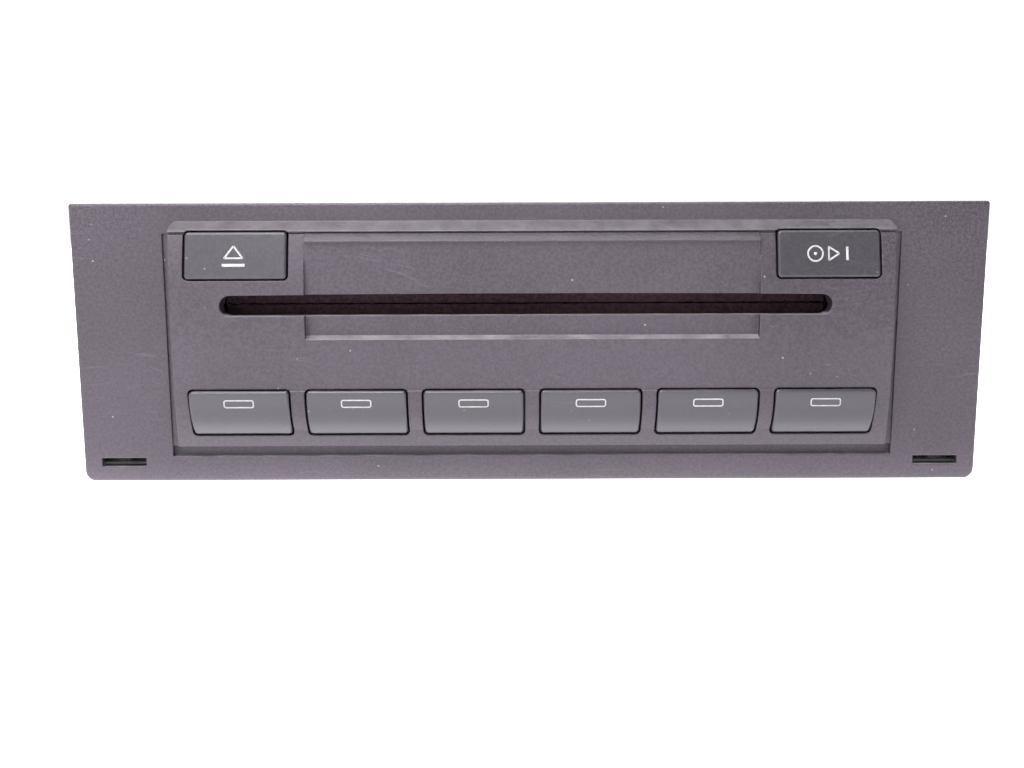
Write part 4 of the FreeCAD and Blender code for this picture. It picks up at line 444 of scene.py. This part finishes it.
# the frame's own pieces, by finish
nodeFinish = {
    "fascia": ["front_fascia"],
    "key": ["eject_button", "load_button"] + [f"disc_button_{number}" for number in discNumbers],
    "board": ["key_board", "main_board"],
    "chip": ["key_switches", "main_board_parts"],
    "led": ["key_leds"],
    "felt": ["slot_felts"],
    "sheet": ["chassis_tray", "top_cover", "rear_panel", "mechanism_base", "mechanism_top"],
    "black": ["rear_connector", "disc_guide", "turntable", "clamp_puck", "pickup", "playback_deck"],
    "tray": [f"disc_tray_{number}" for number in discNumbers],
    "gold": ["connector_pins"],
    "bright": ["rear_stud", "guide_rods", "load_roller_shaft", "deck_pivot", "lead_screw", "clamp_arm"],
    "rubber": ["mechanism_dampers", "load_roller_sleeves"],
    "acetal": ["roller_gear", "load_idler", "load_pinion", "lift_pinion", "sync_plate"]
    + [f"lift_spindle_{number}" for number in range(1, 5)],
    "can": ["load_motor", "lift_motor", "spindle_motor", "sled_motor"],
    "lens": ["pickup_lens"],
    "spring": ["latch_spring_left", "latch_spring_right"],
}


def dressNodes():
    left = set(cadNodes)
    for finish, names in nodeFinish.items():
        for name in names:
            piece = cadNodes[name]
            if not piece.material_slots:
                piece.data.materials.append(finishes[finish])
            for slot in piece.material_slots:
                slot.link = "OBJECT"
                slot.material = finishes[finish]
            left.discard(name)
    print("nodes dressed, left over:", sorted(left))


dressNodes()


def newPiece(name, points, faces, finish, body, smooth=False):
    mesh = bpy.data.meshes.new(name)
    mesh.from_pydata(np.asarray(points).tolist(), [], [list(face) for face in faces])
    mesh.validate()
    mesh.update()
    if smooth:
        mesh.shade_smooth()
    piece = bpy.data.objects.new(name, mesh)
    bpy.context.scene.collection.objects.link(piece)
    mesh.materials.append(finishes[finish])
    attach(piece, body)
    return piece


# faces between the rings of a surface, ring by ring. Each ring closes on itself, and the last ring joins the
# first only where the surface is a closed tube
def ringFaces(rings, count, tube=False):
    ring, spot = np.meshgrid(np.arange(rings if tube else rings - 1), np.arange(count), indexing="ij")
    nextRing, nextSpot = (ring + 1) % rings, (spot + 1) % count
    corners = (ring * count + spot, ring * count + nextSpot,
               nextRing * count + nextSpot, nextRing * count + spot)
    return np.stack(corners, -1).reshape(-1, 4).tolist()


faceAhead = 8.6 * mm  # the surround's flat face stands this far in front of the chassis
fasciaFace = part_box("chassis_tray")[0].y - faceAhead

# each run of the channel round the panel is its span in x, its span in z and its depth behind the face
channelPlan = {
    "runs": (
        ((-75.3 * mm, 76.3 * mm), (5.3 * mm, 7.58 * mm), 1.5 * mm),
        ((-75.3 * mm, -74.1 * mm), (5.6 * mm, 52.0 * mm), 0.45 * mm),
        ((75.1 * mm, 76.3 * mm), (5.6 * mm, 52.0 * mm), 0.45 * mm),
    ),
    "front": 3.0 * mm, "merge": 1e-6, "crease": 3.0, "cutCrease": 28.0,
}


# one closed box for each run of the channel, from in front of the face to the run's depth behind it
def makeCutter():
    walls = ringFaces(2, 4) + [[3, 2, 1, 0], [4, 5, 6, 7]]
    points, faces = [], []
    for (left, right), levels, depth in channelPlan["runs"]:
        near, far = fasciaFace - channelPlan["front"], fasciaFace + depth
        faces += [[corner + len(points) for corner in wall[::-1]] for wall in walls]
        corners = ((left, near), (left, far), (right, far), (right, near))
        points += [(x, y, z) for z in levels for x, y in corners]
    mesh = bpy.data.meshes.new("channelCutter")
    mesh.from_pydata(points, [], faces)
    cutter = bpy.data.objects.new("channelCutter", mesh)
    bpy.context.scene.collection.objects.link(cutter)
    return cutter


def readArray(items, key, width=1, kind=float):
    values = np.empty(len(items) * width, kind)
    items.foreach_get(key, values)
    return values.reshape(-1, width) if width > 1 else values


# an edge is marked sharp where, at either of its ends, the corner normals of its two faces part by more than
# the angle, or where it is marked already
def markCreases(mesh, normals, angle, already):
    edges = readArray(mesh.loops, "edge_index", kind=int)
    starts = readArray(mesh.polygons, "loop_start", kind=int)
    following = np.arange(1, len(edges) + 1)
    following[starts + readArray(mesh.polygons, "loop_total", kind=int) - 1] = starts
    first, second = np.argsort(edges, kind="stable").reshape(-1, 2).T
    near = (normals[first] * normals[following[second]]).sum(1)
    far = (normals[following[first]] * normals[second]).sum(1)
    sharp = (np.minimum(near, far) < math.cos(math.radians(angle))) | already
    marks = mesh.attributes.get("sharp_edge") or mesh.attributes.new("sharp_edge", "BOOLEAN", "EDGE")
    marks.data.foreach_set("value", sharp)


def evaluated(piece):
    return bpy.data.meshes.new_from_object(piece.evaluated_get(bpy.context.evaluated_depsgraph_get()))


# the fascia's loose triangles are merged into one skin that keeps its creases, the channel is cut from it,
# and normals weighted by face area keep its flats flat
def makeFasciaSkin():
    source = cadNodes["front_fascia"].data
    normals = readArray(source.corner_normals, "vector", 3)
    merged = bmesh.new()
    merged.from_mesh(source)
    bmesh.ops.remove_doubles(merged, verts=merged.verts, dist=channelPlan["merge"])
    mesh = bpy.data.meshes.new("fascia_skin")
    merged.to_mesh(mesh)
    merged.free()
    markCreases(mesh, normals, channelPlan["crease"], False)
    piece = bpy.data.objects.new("fascia_skin", mesh)
    bpy.context.scene.collection.objects.link(piece)
    cutter = makeCutter()
    cut = piece.modifiers.new("channel", "BOOLEAN")
    cut.operation = "DIFFERENCE"
    cut.use_self = True
    cut.object = cutter
    cutMesh = evaluated(piece)
    kept = readArray(cutMesh.attributes["sharp_edge"].data, "value", kind=bool)
    cutMesh.shade_smooth()
    corners = readArray(cutMesh.polygons, "loop_total", kind=int)
    normals = np.repeat(readArray(cutMesh.polygons, "normal", 3), corners, 0)
    markCreases(cutMesh, normals, channelPlan["cutCrease"], kept)
    piece.modifiers.clear()
    piece.data = cutMesh
    bpy.data.objects.remove(cutter)
    weigh = piece.modifiers.new("weigh", "WEIGHTED_NORMAL")
    weigh.keep_sharp = True
    skin = evaluated(piece)
    piece.modifiers.clear()
    piece.data = skin
    skin.materials.clear()
    skin.materials.append(finishes["fascia"])
    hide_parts("front_fascia")
    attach(piece, "housing")
    print("fascia channel cut:", len(skin.polygons))


makeFasciaSkin()


def rectangleCorners(centre, width, height):
    x, z = centre
    return ((x - width / 2, z - height / 2), (x + width / 2, z - height / 2),
            (x + width / 2, z + height / 2), (x - width / 2, z + height / 2))


guidePlan = {"x": 85.7 * mm, "level": 5.05 * mm, "width": 9.5 * mm, "height": 2.0 * mm, "wall": 0.6 * mm,
             "front": 1.0 * mm, "back": 8.2 * mm}


# guides behind the openings for removal keys. Each is a square tube: its outer walls run back from the fascia
# and its inner walls return
def makeSlotGuides():
    plan = guidePlan
    points, faces = [], []
    for side in (-1, 1):
        loops = []
        for grow, depth in ((2, "front"), (2, "back"), (0, "back"), (0, "front")):
            corners = rectangleCorners((side * plan["x"], plan["level"]), plan["width"] + grow * plan["wall"],
                                       plan["height"] + grow * plan["wall"])
            loops += [(x, fasciaFace + plan[depth], z) for x, z in corners]
        faces += [[corner + len(points) for corner in wall[::-1]] for wall in ringFaces(4, 4, tube=True)]
        points += loops
    newPiece("removal_guides", points, faces, "chip", "housing")
    print("removal guides set")


makeSlotGuides()

# the keys' fronts: levels of their lower and upper edges, and how far each edge reaches out from the face
keyPlan = {
    "firstX": -59.75 * mm, "pitch": 24.1 * mm,
    "low": 10.4 * mm, "high": 19.9 * mm, "lowReach": 1.5 * mm, "highReach": 4.8 * mm, "radius": 12.5 * mm,
    "cornerLow": 42.9 * mm, "cornerHigh": 52.2 * mm,
    "cornerLowReach": 5.202 * mm, "cornerHighReach": 3.174 * mm,
}


# depth of a disc key's front: the arc of the key's radius through its lower and upper edges
def discKeyDepth(z):
    rise = keyPlan["high"] - keyPlan["low"]
    lean = keyPlan["highReach"] - keyPlan["lowReach"]
    chord = math.hypot(rise, lean)
    bow = math.sqrt(keyPlan["radius"] ** 2 - chord ** 2 / 4)
    middleY = fasciaFace - (keyPlan["highReach"] + keyPlan["lowReach"]) / 2
    centreY = middleY + bow * rise / chord
    centreZ = (keyPlan["low"] + keyPlan["high"]) / 2 + bow * lean / chord
    return centreY - np.sqrt(keyPlan["radius"] ** 2 - (z - centreZ) ** 2)


# depth of a corner key's front: the straight line from its lower to its upper edge
def cornerKeyDepth(z):
    share = (z - keyPlan["cornerLow"]) / (keyPlan["cornerHigh"] - keyPlan["cornerLow"])
    lean = keyPlan["cornerHighReach"] - keyPlan["cornerLowReach"]
    return fasciaFace - keyPlan["cornerLowReach"] - share * lean


# an outline with rounded corners, as one loop of points running anticlockwise: at each corner an arc that
# touches both sides, its centre on the bisector and one radius from them
def roundedOutline(corners, radius, steps=7):
    corners = np.asarray(corners, float)
    before = np.roll(corners, 1, 0) - corners
    after = np.roll(corners, -1, 0) - corners
    before /= np.linalg.norm(before, axis=1, keepdims=True)
    after /= np.linalg.norm(after, axis=1, keepdims=True)
    half = np.arccos(np.clip((before * after).sum(1), -1, 1)) / 2
    bisector = before + after
    bisector /= np.linalg.norm(bisector, axis=1, keepdims=True)
    centres = corners + bisector * (radius / np.sin(half))[:, None]
    middle = np.arctan2(-bisector[:, 1], -bisector[:, 0])
    sweep = np.pi / 2 - half
    turn = middle[:, None] + sweep[:, None] * np.linspace(-1, 1, steps)
    arcs = centres[:, None] + radius * np.stack((np.cos(turn), np.sin(turn)), -1)
    return arcs.reshape(-1, 2)


printPlan = {"thick": 0.05 * mm, "sunk": 0.02 * mm}


# ink on a key: each x and z of a loop takes depth(z) as its y, a little behind the key's face for the ink's
# back, and ahead of that by its thickness for its front
def inkPoints(flat, depth, proud):
    return np.stack((flat[:, 0], depth(flat[:, 1]) + printPlan["sunk"] - proud, flat[:, 1]), 1)


# a printed line: a closed outline carries a flat band, whose two edges are the outline moved along its own
# normal by half the line's width to either side
def printedLine(name, outline, width, depth, body):
    run = np.roll(outline, -1, 0) - np.roll(outline, 1, 0)
    run /= np.linalg.norm(run, axis=1, keepdims=True)
    outward = np.stack((run[:, 1], -run[:, 0]), 1) * width / 2
    rings = [inkPoints(outline + side * outward, depth, proud * printPlan["thick"])
             for side, proud in ((-1, 0), (-1, 1), (1, 1), (1, 0))]
    faces = ringFaces(len(rings), len(outline), tube=True)
    newPiece(name, np.concatenate(rings), faces, "paint", body)


# a printed patch: an outline filled on the key's face, with a thin edge down to the key
def printedPatch(name, outline, depth, body):
    count = len(outline)
    rings = [inkPoints(outline, depth, proud * printPlan["thick"]) for proud in (0, 1)]
    faces = ringFaces(2, count) + [list(range(count, 2 * count)), list(range(count))[::-1]]
    newPiece(name, np.concatenate(rings), faces, "paint", body)


markPlan = {"width": 6.0 * mm, "height": 1.46 * mm, "line": 0.27 * mm, "level": 17.3 * mm, "corner": 0.4 * mm}


def makeDiscMarks():
    plan = markPlan
    for number in discNumbers:
        centre = (keyPlan["firstX"] + (number - 1) * keyPlan["pitch"], plan["level"])
        outline = roundedOutline(rectangleCorners(centre, plan["width"], plan["height"]), plan["corner"])
        printedLine(f"disc_mark_{number}", outline, plan["line"], discKeyDepth, f"disc_key_{number}")
    print("disc marks printed")


signPlan = {
    "line": 0.36 * mm, "corner": 0.06 * mm,
    "ejectX": -59.7 * mm, "ejectWidth": 3.75 * mm, "ejectLow": 47.05 * mm, "ejectHigh": 49.45 * mm,
    "barWidth": 4.6 * mm, "barHeight": 0.62 * mm, "barLevel": 45.65 * mm,
    "loadLevel": 47.6 * mm, "discX": 57.6 * mm, "discRadius": 1.5 * mm, "discPoints": 32,
    "hubRadius": 0.35 * mm, "hubPoints": 16,
    "arrowX": (60.3 * mm, 62.4 * mm), "arrowHalf": 1.35 * mm, "stopX": 64.0 * mm, "stopWidth": 0.5 * mm,
}


# a circle as a loop of points: the centre plus the radius times the cosine and sine of even turns
def circleOutline(centre, radius, count):
    turn = np.linspace(0, 2 * math.pi, count, endpoint=False)
    return np.stack((centre[0] + radius * np.cos(turn), centre[1] + radius * np.sin(turn)), 1)


def makeKeySigns():
    plan = signPlan
    line, corner, level = plan["line"], plan["corner"], plan["loadLevel"]
    left, right = plan["ejectX"] - plan["ejectWidth"] / 2, plan["ejectX"] + plan["ejectWidth"] / 2
    triangle = ((left, plan["ejectLow"]), (right, plan["ejectLow"]), (plan["ejectX"], plan["ejectHigh"]))
    printedLine("eject_triangle", roundedOutline(triangle, corner), line, cornerKeyDepth, "eject_key")
    bar = rectangleCorners((plan["ejectX"], plan["barLevel"]), plan["barWidth"], plan["barHeight"])
    printedPatch("eject_bar", roundedOutline(bar, corner / 2), cornerKeyDepth, "eject_key")
    disc = circleOutline((plan["discX"], level), plan["discRadius"], plan["discPoints"])
    printedLine("load_disc", disc, line, cornerKeyDepth, "load_key")
    hub = circleOutline((plan["discX"], level), plan["hubRadius"], plan["hubPoints"])
    printedPatch("load_hub", hub, cornerKeyDepth, "load_key")
    tail, tip = plan["arrowX"]
    arrow = ((tail, level - plan["arrowHalf"]), (tip, level), (tail, level + plan["arrowHalf"]))
    printedLine("load_arrow", roundedOutline(arrow, corner), line, cornerKeyDepth, "load_key")
    stop = rectangleCorners((plan["stopX"], level), plan["stopWidth"], 2 * plan["arrowHalf"])
    printedPatch("load_stop", roundedOutline(stop, corner / 2), cornerKeyDepth, "load_key")
    print("key signs printed")


makeDiscMarks()
makeKeySigns()

screwPlan = {
    "headRadius": 2.6 * mm, "headHeight": 1.4 * mm, "crown": 0.55 * mm, "rim": 0.25 * mm,
    "shankRadius": 1.25 * mm, "shankLength": 3.0 * mm,
    "slotLength": 1.35 * mm, "slotWidth": 0.36 * mm, "slotDepth": 0.8 * mm, "slotTaper": 0.8,
    "blend": 0.62, "innerCrown": 0.72, "outerCrown": 0.88, "tip": 0.5, "point": 0.02,
    "seat": 0.03 * mm, "around": 48, "crease": 35, "seed": 7,
}

# each row of screws: its places in x, y and z in millimetres, and where its heads point
screwRows = {
    "lid": ((-86.0, 86.0), (-75.9, 80.1), (55.8,), (0, 0, 1)),
    "leftSide": ((-90.0,), (84.1,), (14.133, 47.467), (-1, 0, 0)),
    "rightSide": ((90.0,), (84.1,), (14.133, 47.467), (1, 0, 0)),
    "keyBoard": ((-86.0, 86.0), (-90.7,), (16.0, 42.1), (0, 1, 0)),
    "mainBoard": ((-66.0, 46.0), (-62.9, 31.1), (11.0,), (0, 0, 1)),
    "dampers": ((-78.0, 78.0), (-42.9, 59.1), (16.0,), (0, 0, 1)),
}

# each piece of screws: its finish and its rows
screwPieces = {
    "case_screws": ("bright", ("lid", "leftSide", "rightSide")),
    "key_board_screws": ("blackSteel", ("keyBoard",)),
    "main_board_screws": ("bright", ("mainBoard",)),
    "damper_screws": ("bright", ("dampers",)),
}


# cross outline of the recess. At each angle a slot reaches to its end or its side, whichever is nearer: its
# half length over the cosine, or its half width over the sine. The cross reaches as far as its longer slot
def crossReach(turn, length, width):
    along = np.maximum(np.abs(np.cos(turn)), 1e-6)  # kept off zero, for the division
    across = np.maximum(np.abs(np.sin(turn)), 1e-6)
    flatSlot = np.minimum(length / along, width / across)
    uprightSlot = np.minimum(length / across, width / along)
    return np.maximum(flatSlot, uprightSlot)


# one pan-head screw about the z axis: rings from the middle of the cross recess up its wall, over the head,
# whose crown falls with the square of the radius, under it and down the shank to its tip
def screwRings():
    plan = screwPlan
    turn = np.linspace(0, 2 * math.pi, plan["around"], endpoint=False)
    level = np.zeros_like(turn)
    top, rim = plan["headHeight"], plan["rim"]

    def crownHeight(radius):
        return top - plan["crown"] * (radius / plan["headRadius"]) ** 2

    mouth = crossReach(turn, plan["slotLength"], plan["slotWidth"])
    floor = crossReach(turn, plan["slotLength"] * plan["slotTaper"], plan["slotWidth"] * plan["slotTaper"])
    blend = (mouth + plan["blend"] * plan["headRadius"]) / 2
    wide = np.full_like(turn, plan["headRadius"])
    shank = np.full_like(turn, plan["shankRadius"])
    rings = [
        (floor * plan["point"], level + top - plan["slotDepth"]),
        (floor, level + top - plan["slotDepth"]),
        (mouth, crownHeight(mouth)),
        (blend, crownHeight(blend)),
        (wide * plan["innerCrown"], crownHeight(wide * plan["innerCrown"])),
        (wide * plan["outerCrown"], crownHeight(wide * plan["outerCrown"])),
        (wide - rim, crownHeight(wide - rim)),
        (wide, crownHeight(wide) - rim),
        (wide, level + rim),
        (wide - rim / 2, level),
        (shank, level),
        (shank, level - plan["shankLength"] + plan["shankRadius"] / 2),
        (shank * plan["tip"], level - plan["shankLength"]),
        (shank * plan["point"], level - plan["shankLength"]),
    ]
    return np.stack([np.stack((radius * np.cos(turn), radius * np.sin(turn), height), 1)
                     for radius, height in rings])


# screws standing at places with their heads towards a direction: the one screw's points, each time given a
# turn of its own about its axis, stood along the direction and moved to the place
def makeScrews(name, finish, places):
    rings = screwRings()
    count = rings.shape[1]
    faces = np.array(ringFaces(len(rings), count))
    middle = list(range(count))[::-1]
    tip = list(range((len(rings) - 1) * count, len(rings) * count))
    flat = rings.reshape(-1, 3)
    turns = np.random.default_rng(screwPlan["seed"] + len(places)).uniform(0, math.pi / 2, len(places))
    points, allFaces = [], []
    for (place, towards), turn in zip(places, turns):
        stand = np.array(Vector(towards).to_track_quat("Z", "Y").to_matrix() @ Matrix.Rotation(turn, 3, "Z"))
        start = len(points) * len(flat)
        points.append(flat @ stand.T + (np.array(place) * mm + np.array(towards) * screwPlan["seat"]))
        allFaces += (faces + start).tolist()
        allFaces += [[spot + start for spot in middle], [spot + start for spot in tip]]
    piece = newPiece(name, np.concatenate(points), allFaces, finish, "housing", smooth=True)
    piece.data.set_sharp_from_angle(angle=math.radians(screwPlan["crease"]))


def makeAllScrews():
    total = 0
    for name, (finish, rows) in screwPieces.items():
        places = []
        for row in rows:
            *spans, towards = screwRows[row]
            places += [(place, towards) for place in itertools.product(*spans)]
        makeScrews(name, finish, places)
        total += len(places)
    print("screws set:", total)


makeAllScrews()

# the two felt lips in the slot. Their free edges end a gap above and a gap below the slit, and waves holds
# the lowest and highest wave numbers of the fray and how many waves there are
curtainPlan = {
    "x": (-62.4 * mm, 60.8 * mm), "low": 35.2 * mm, "high": 40.0 * mm, "slit": 37.5 * mm, "gap": 0.12 * mm,
    "behind": 0.7 * mm, "thick": 0.6 * mm, "lean": 0.35 * mm, "fray": 0.24 * mm, "waves": (300, 5000, 14),
    "columns": 240, "rows": 7,
}


# a felt lip: a strip from its root to its free edge, which is frayed by the mean of sines with seeded lengths
# and phases. It leans back by the square of the share of the way to that edge
def makeFeltLip(name, rootLevel, edgeLevel, back):
    plan = curtainPlan
    x = np.linspace(*plan["x"], plan["columns"])
    rng = np.random.default_rng(int(rootLevel * 1e6))  # seeded by the root's level in micrometres
    waves = rng.uniform(*plan["waves"])
    phases = rng.uniform(0, 2 * math.pi, plan["waves"][2])
    fray = np.sin(x[:, None] * waves + phases).mean(1) * plan["fray"]
    share = np.linspace(0, 1, plan["rows"])[:, None]
    level = rootLevel + (edgeLevel + fray - rootLevel) * share
    depth = back - plan["thick"] + share ** 2 * plan["lean"]
    front = np.stack((x + 0 * level, depth + 0 * level, level), -1)
    rear = front[::-1] + np.array((0, plan["thick"], 0))
    rings = np.concatenate((front, rear)).transpose(1, 0, 2)
    count = rings.shape[1]
    faces = ringFaces(len(rings), count)
    ends = [list(range(count)), list(range((len(rings) - 1) * count, len(rings) * count))[::-1]]
    if edgeLevel < rootLevel:
        faces = [face[::-1] for face in faces]
        ends = [end[::-1] for end in ends]
    newPiece(name, rings.reshape(-1, 3), faces + ends, "felt", "housing")


def makeCurtain():
    plan = curtainPlan
    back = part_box("slot_felts")[1].y + plan["behind"]
    makeFeltLip("slot_lip_upper", plan["high"], plan["slit"] + plan["gap"], back)
    makeFeltLip("slot_lip_lower", plan["low"], plan["slit"] - plan["gap"], back)
    print("slot curtain hung")


makeCurtain()

threadPlan = {"pitch": 1.0 * mm, "end": 1.5 * mm, "height": 0.2 * mm, "foot": 0.25 * mm, "sunk": 0.05 * mm,
              "perTurn": 20}


# the lead screw's thread: a small three-cornered section carried along a helix about the rod's axis, which
# sinks back into the rod over the first and the last quarter turn
def makeThread():
    plan = threadPlan
    low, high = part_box("lead_screw")
    start, end = low.x + plan["end"], high.x - plan["end"]
    centreY, centreZ = (low.y + high.y) / 2, (low.z + high.z) / 2
    turns = (end - start) / plan["pitch"]
    steps = int(turns * plan["perTurn"]) + 1
    turn = np.linspace(0, turns * 2 * math.pi, steps)[:, None]
    fade = np.clip(np.minimum(turn, turns * 2 * math.pi - turn) / (math.pi / 2), 0, 1)
    along = start + turn / (2 * math.pi) * plan["pitch"] + np.array((-1.0, 0.0, 1.0)) * plan["foot"]
    rise = np.array((-plan["sunk"], plan["height"], -plan["sunk"]))
    reach = (high.z - low.z) / 2 - plan["sunk"] + (rise + plan["sunk"]) * fade
    points = np.stack((along, centreY + reach * np.cos(turn), centreZ + reach * np.sin(turn)), -1)
    ends = [[2, 1, 0], [3 * steps - 3, 3 * steps - 2, 3 * steps - 1]]
    faces = [face[::-1] for face in ringFaces(steps, 3) + ends]
    newPiece("lead_screw_thread", points.reshape(-1, 3), faces, "bright", "screw")
    print("thread cut")


makeThread()

cameraPlan = {
    "x": -3.72 * mm, "ahead": 217.21 * mm, "z": 53.63 * mm, "pitch": 8.65, "yaw": -0.02, "roll": -0.20,
    "lens": 36.914, "sensor": 36, "near": 0.01,
}


def makeCamera():
    plan = cameraPlan
    camera = bpy.data.objects.new("camera", bpy.data.cameras.new("camera"))
    bpy.context.scene.collection.objects.link(camera)
    camera.data.sensor_width = plan["sensor"]
    camera.data.lens = plan["lens"]
    camera.data.clip_start = plan["near"]
    turn = Matrix.Identity(4)
    for angle, axis in ((plan["yaw"], "Z"), (90 - plan["pitch"], "X"), (plan["roll"], "Z")):
        turn = turn @ Matrix.Rotation(math.radians(angle), 4, axis)
    camera.matrix_world = Matrix.Translation((plan["x"], fasciaFace - plan["ahead"], plan["z"])) @ turn
    bpy.context.scene.camera = camera


floorPlan = {
    "reach": 3.0, "level": 0.93, "dark": (0.97, 0.97, 0.98), "toneScale": 12.0, "rough": 0.7,
    "glow": 2.7, "farGlow": 0.2, "glowDepth": 0.013, "glowLeft": -0.1, "glowRight": 0.16, "glowFade": 0.68,
}


# pale floor with a painted pool of light, a glow though it is no lamp. Its glow rises over a short depth
# towards the fascia's face, stays full from there back, and fades from left to right
def makeFloor():
    plan = floorPlan
    reach, level = plan["reach"], plan["level"]
    floor = bpy.data.objects.new("floor", bpy.data.meshes.new("floor"))
    corners = [(-reach, -reach, 0), (reach, -reach, 0), (reach, reach, 0), (-reach, reach, 0)]
    floor.data.from_pydata(corners, [], [(0, 1, 2, 3)])
    bpy.context.scene.collection.objects.link(floor)
    material, tree, shader, place = newMaterial("paleFloor")
    tone = noise(tree, place, plan["toneScale"], detail=3)
    color = mixColor(tree, tone, (level, level, level), tuple(level * part for part in plan["dark"]))
    split = addNode(tree, "SeparateXYZ")
    tree.links.new(place, split.inputs[0])
    # painted pool of light: the floor glows brightest from the fascia's face back, and more to the left
    strip = spread(tree, split.outputs["Y"], fasciaFace - plan["glowDepth"], fasciaFace, plan["farGlow"], 1.0)
    across = spread(tree, split.outputs["X"], plan["glowLeft"], plan["glowRight"], 1.0, plan["glowFade"])
    glow = mixColor(tree, times(tree, strip, across), (0, 0, 0), (1, 1, 1))
    feed(tree, shader, Base_Color=color, Roughness=plan["rough"], Emission_Color=glow,
         Emission_Strength=plan["glow"])
    floor.data.materials.append(material)


# the pairs are the parts of the view direction's x, y or z between which a level changes
roomPlan = {
    "horizon": 1.15, "overhead": 0.62, "front": 0.64, "leftGain": 2.05, "rightFade": 0.76,
    "frontRise": (0.06, 0.16), "left": (-0.5, 0.05), "right": (0.1, 0.45),
    "backRise": (0.25, 0.45), "frontToBack": (-0.5, 0.1),
}


# soft white room. In front of the part it dims above the horizon and is brighter to the left than to the
# right, and behind the part it dims only higher up
def makeRoom():
    plan = roomPlan
    world = bpy.data.worlds.new("studio")
    world.use_nodes = True
    tree = world.node_tree
    split = addNode(tree, "SeparateXYZ")
    tree.links.new(addNode(tree, "TexCoord").outputs["Generated"], split.inputs[0])
    x, y, z = split.outputs
    ahead = spread(tree, z, *plan["frontRise"], plan["horizon"], plan["front"])
    ahead = times(tree, ahead, spread(tree, x, *plan["left"], plan["leftGain"], 1.0))
    ahead = times(tree, ahead, spread(tree, x, *plan["right"], 1.0, plan["rightFade"]))
    behind = spread(tree, z, *plan["backRise"], plan["horizon"], plan["overhead"])
    share = spread(tree, y, *plan["frontToBack"])
    level = plus(tree, times(tree, share, behind), times(tree, mathNode(tree, "SUBTRACT", 1.0, share), ahead))
    feed(tree, tree.nodes["Background"], Strength=level, Color=(1, 1, 1, 1))
    bpy.context.scene.world = world


# each lamp: its power in watts, its side, its place and the place it points at
lampPlan = {
    "poolLight": (4.6, 0.35, (-0.12, -0.38, 0.5), (-0.05, -0.1, 0.0)),
    "backLight": (40.0, 1.6, (0.0, 1.3, 1.6), (0.0, 1.3, 0.0)),
}


def makeLight(name, power, size, place, aim):
    light = bpy.data.objects.new(name, bpy.data.lights.new(name, "AREA"))
    light.data.energy = power
    light.data.size = size
    bpy.context.scene.collection.objects.link(light)
    towards = Vector(aim) - Vector(place)
    light.matrix_world = Matrix.Translation(place) @ towards.to_track_quat("-Z", "Y").to_matrix().to_4x4()


makeCamera()
makeFloor()
makeRoom()
for lamp, values in lampPlan.items():
    makeLight(lamp, *values)
bpy.context.scene.view_settings.view_transform = "Standard"
print("stage lit")
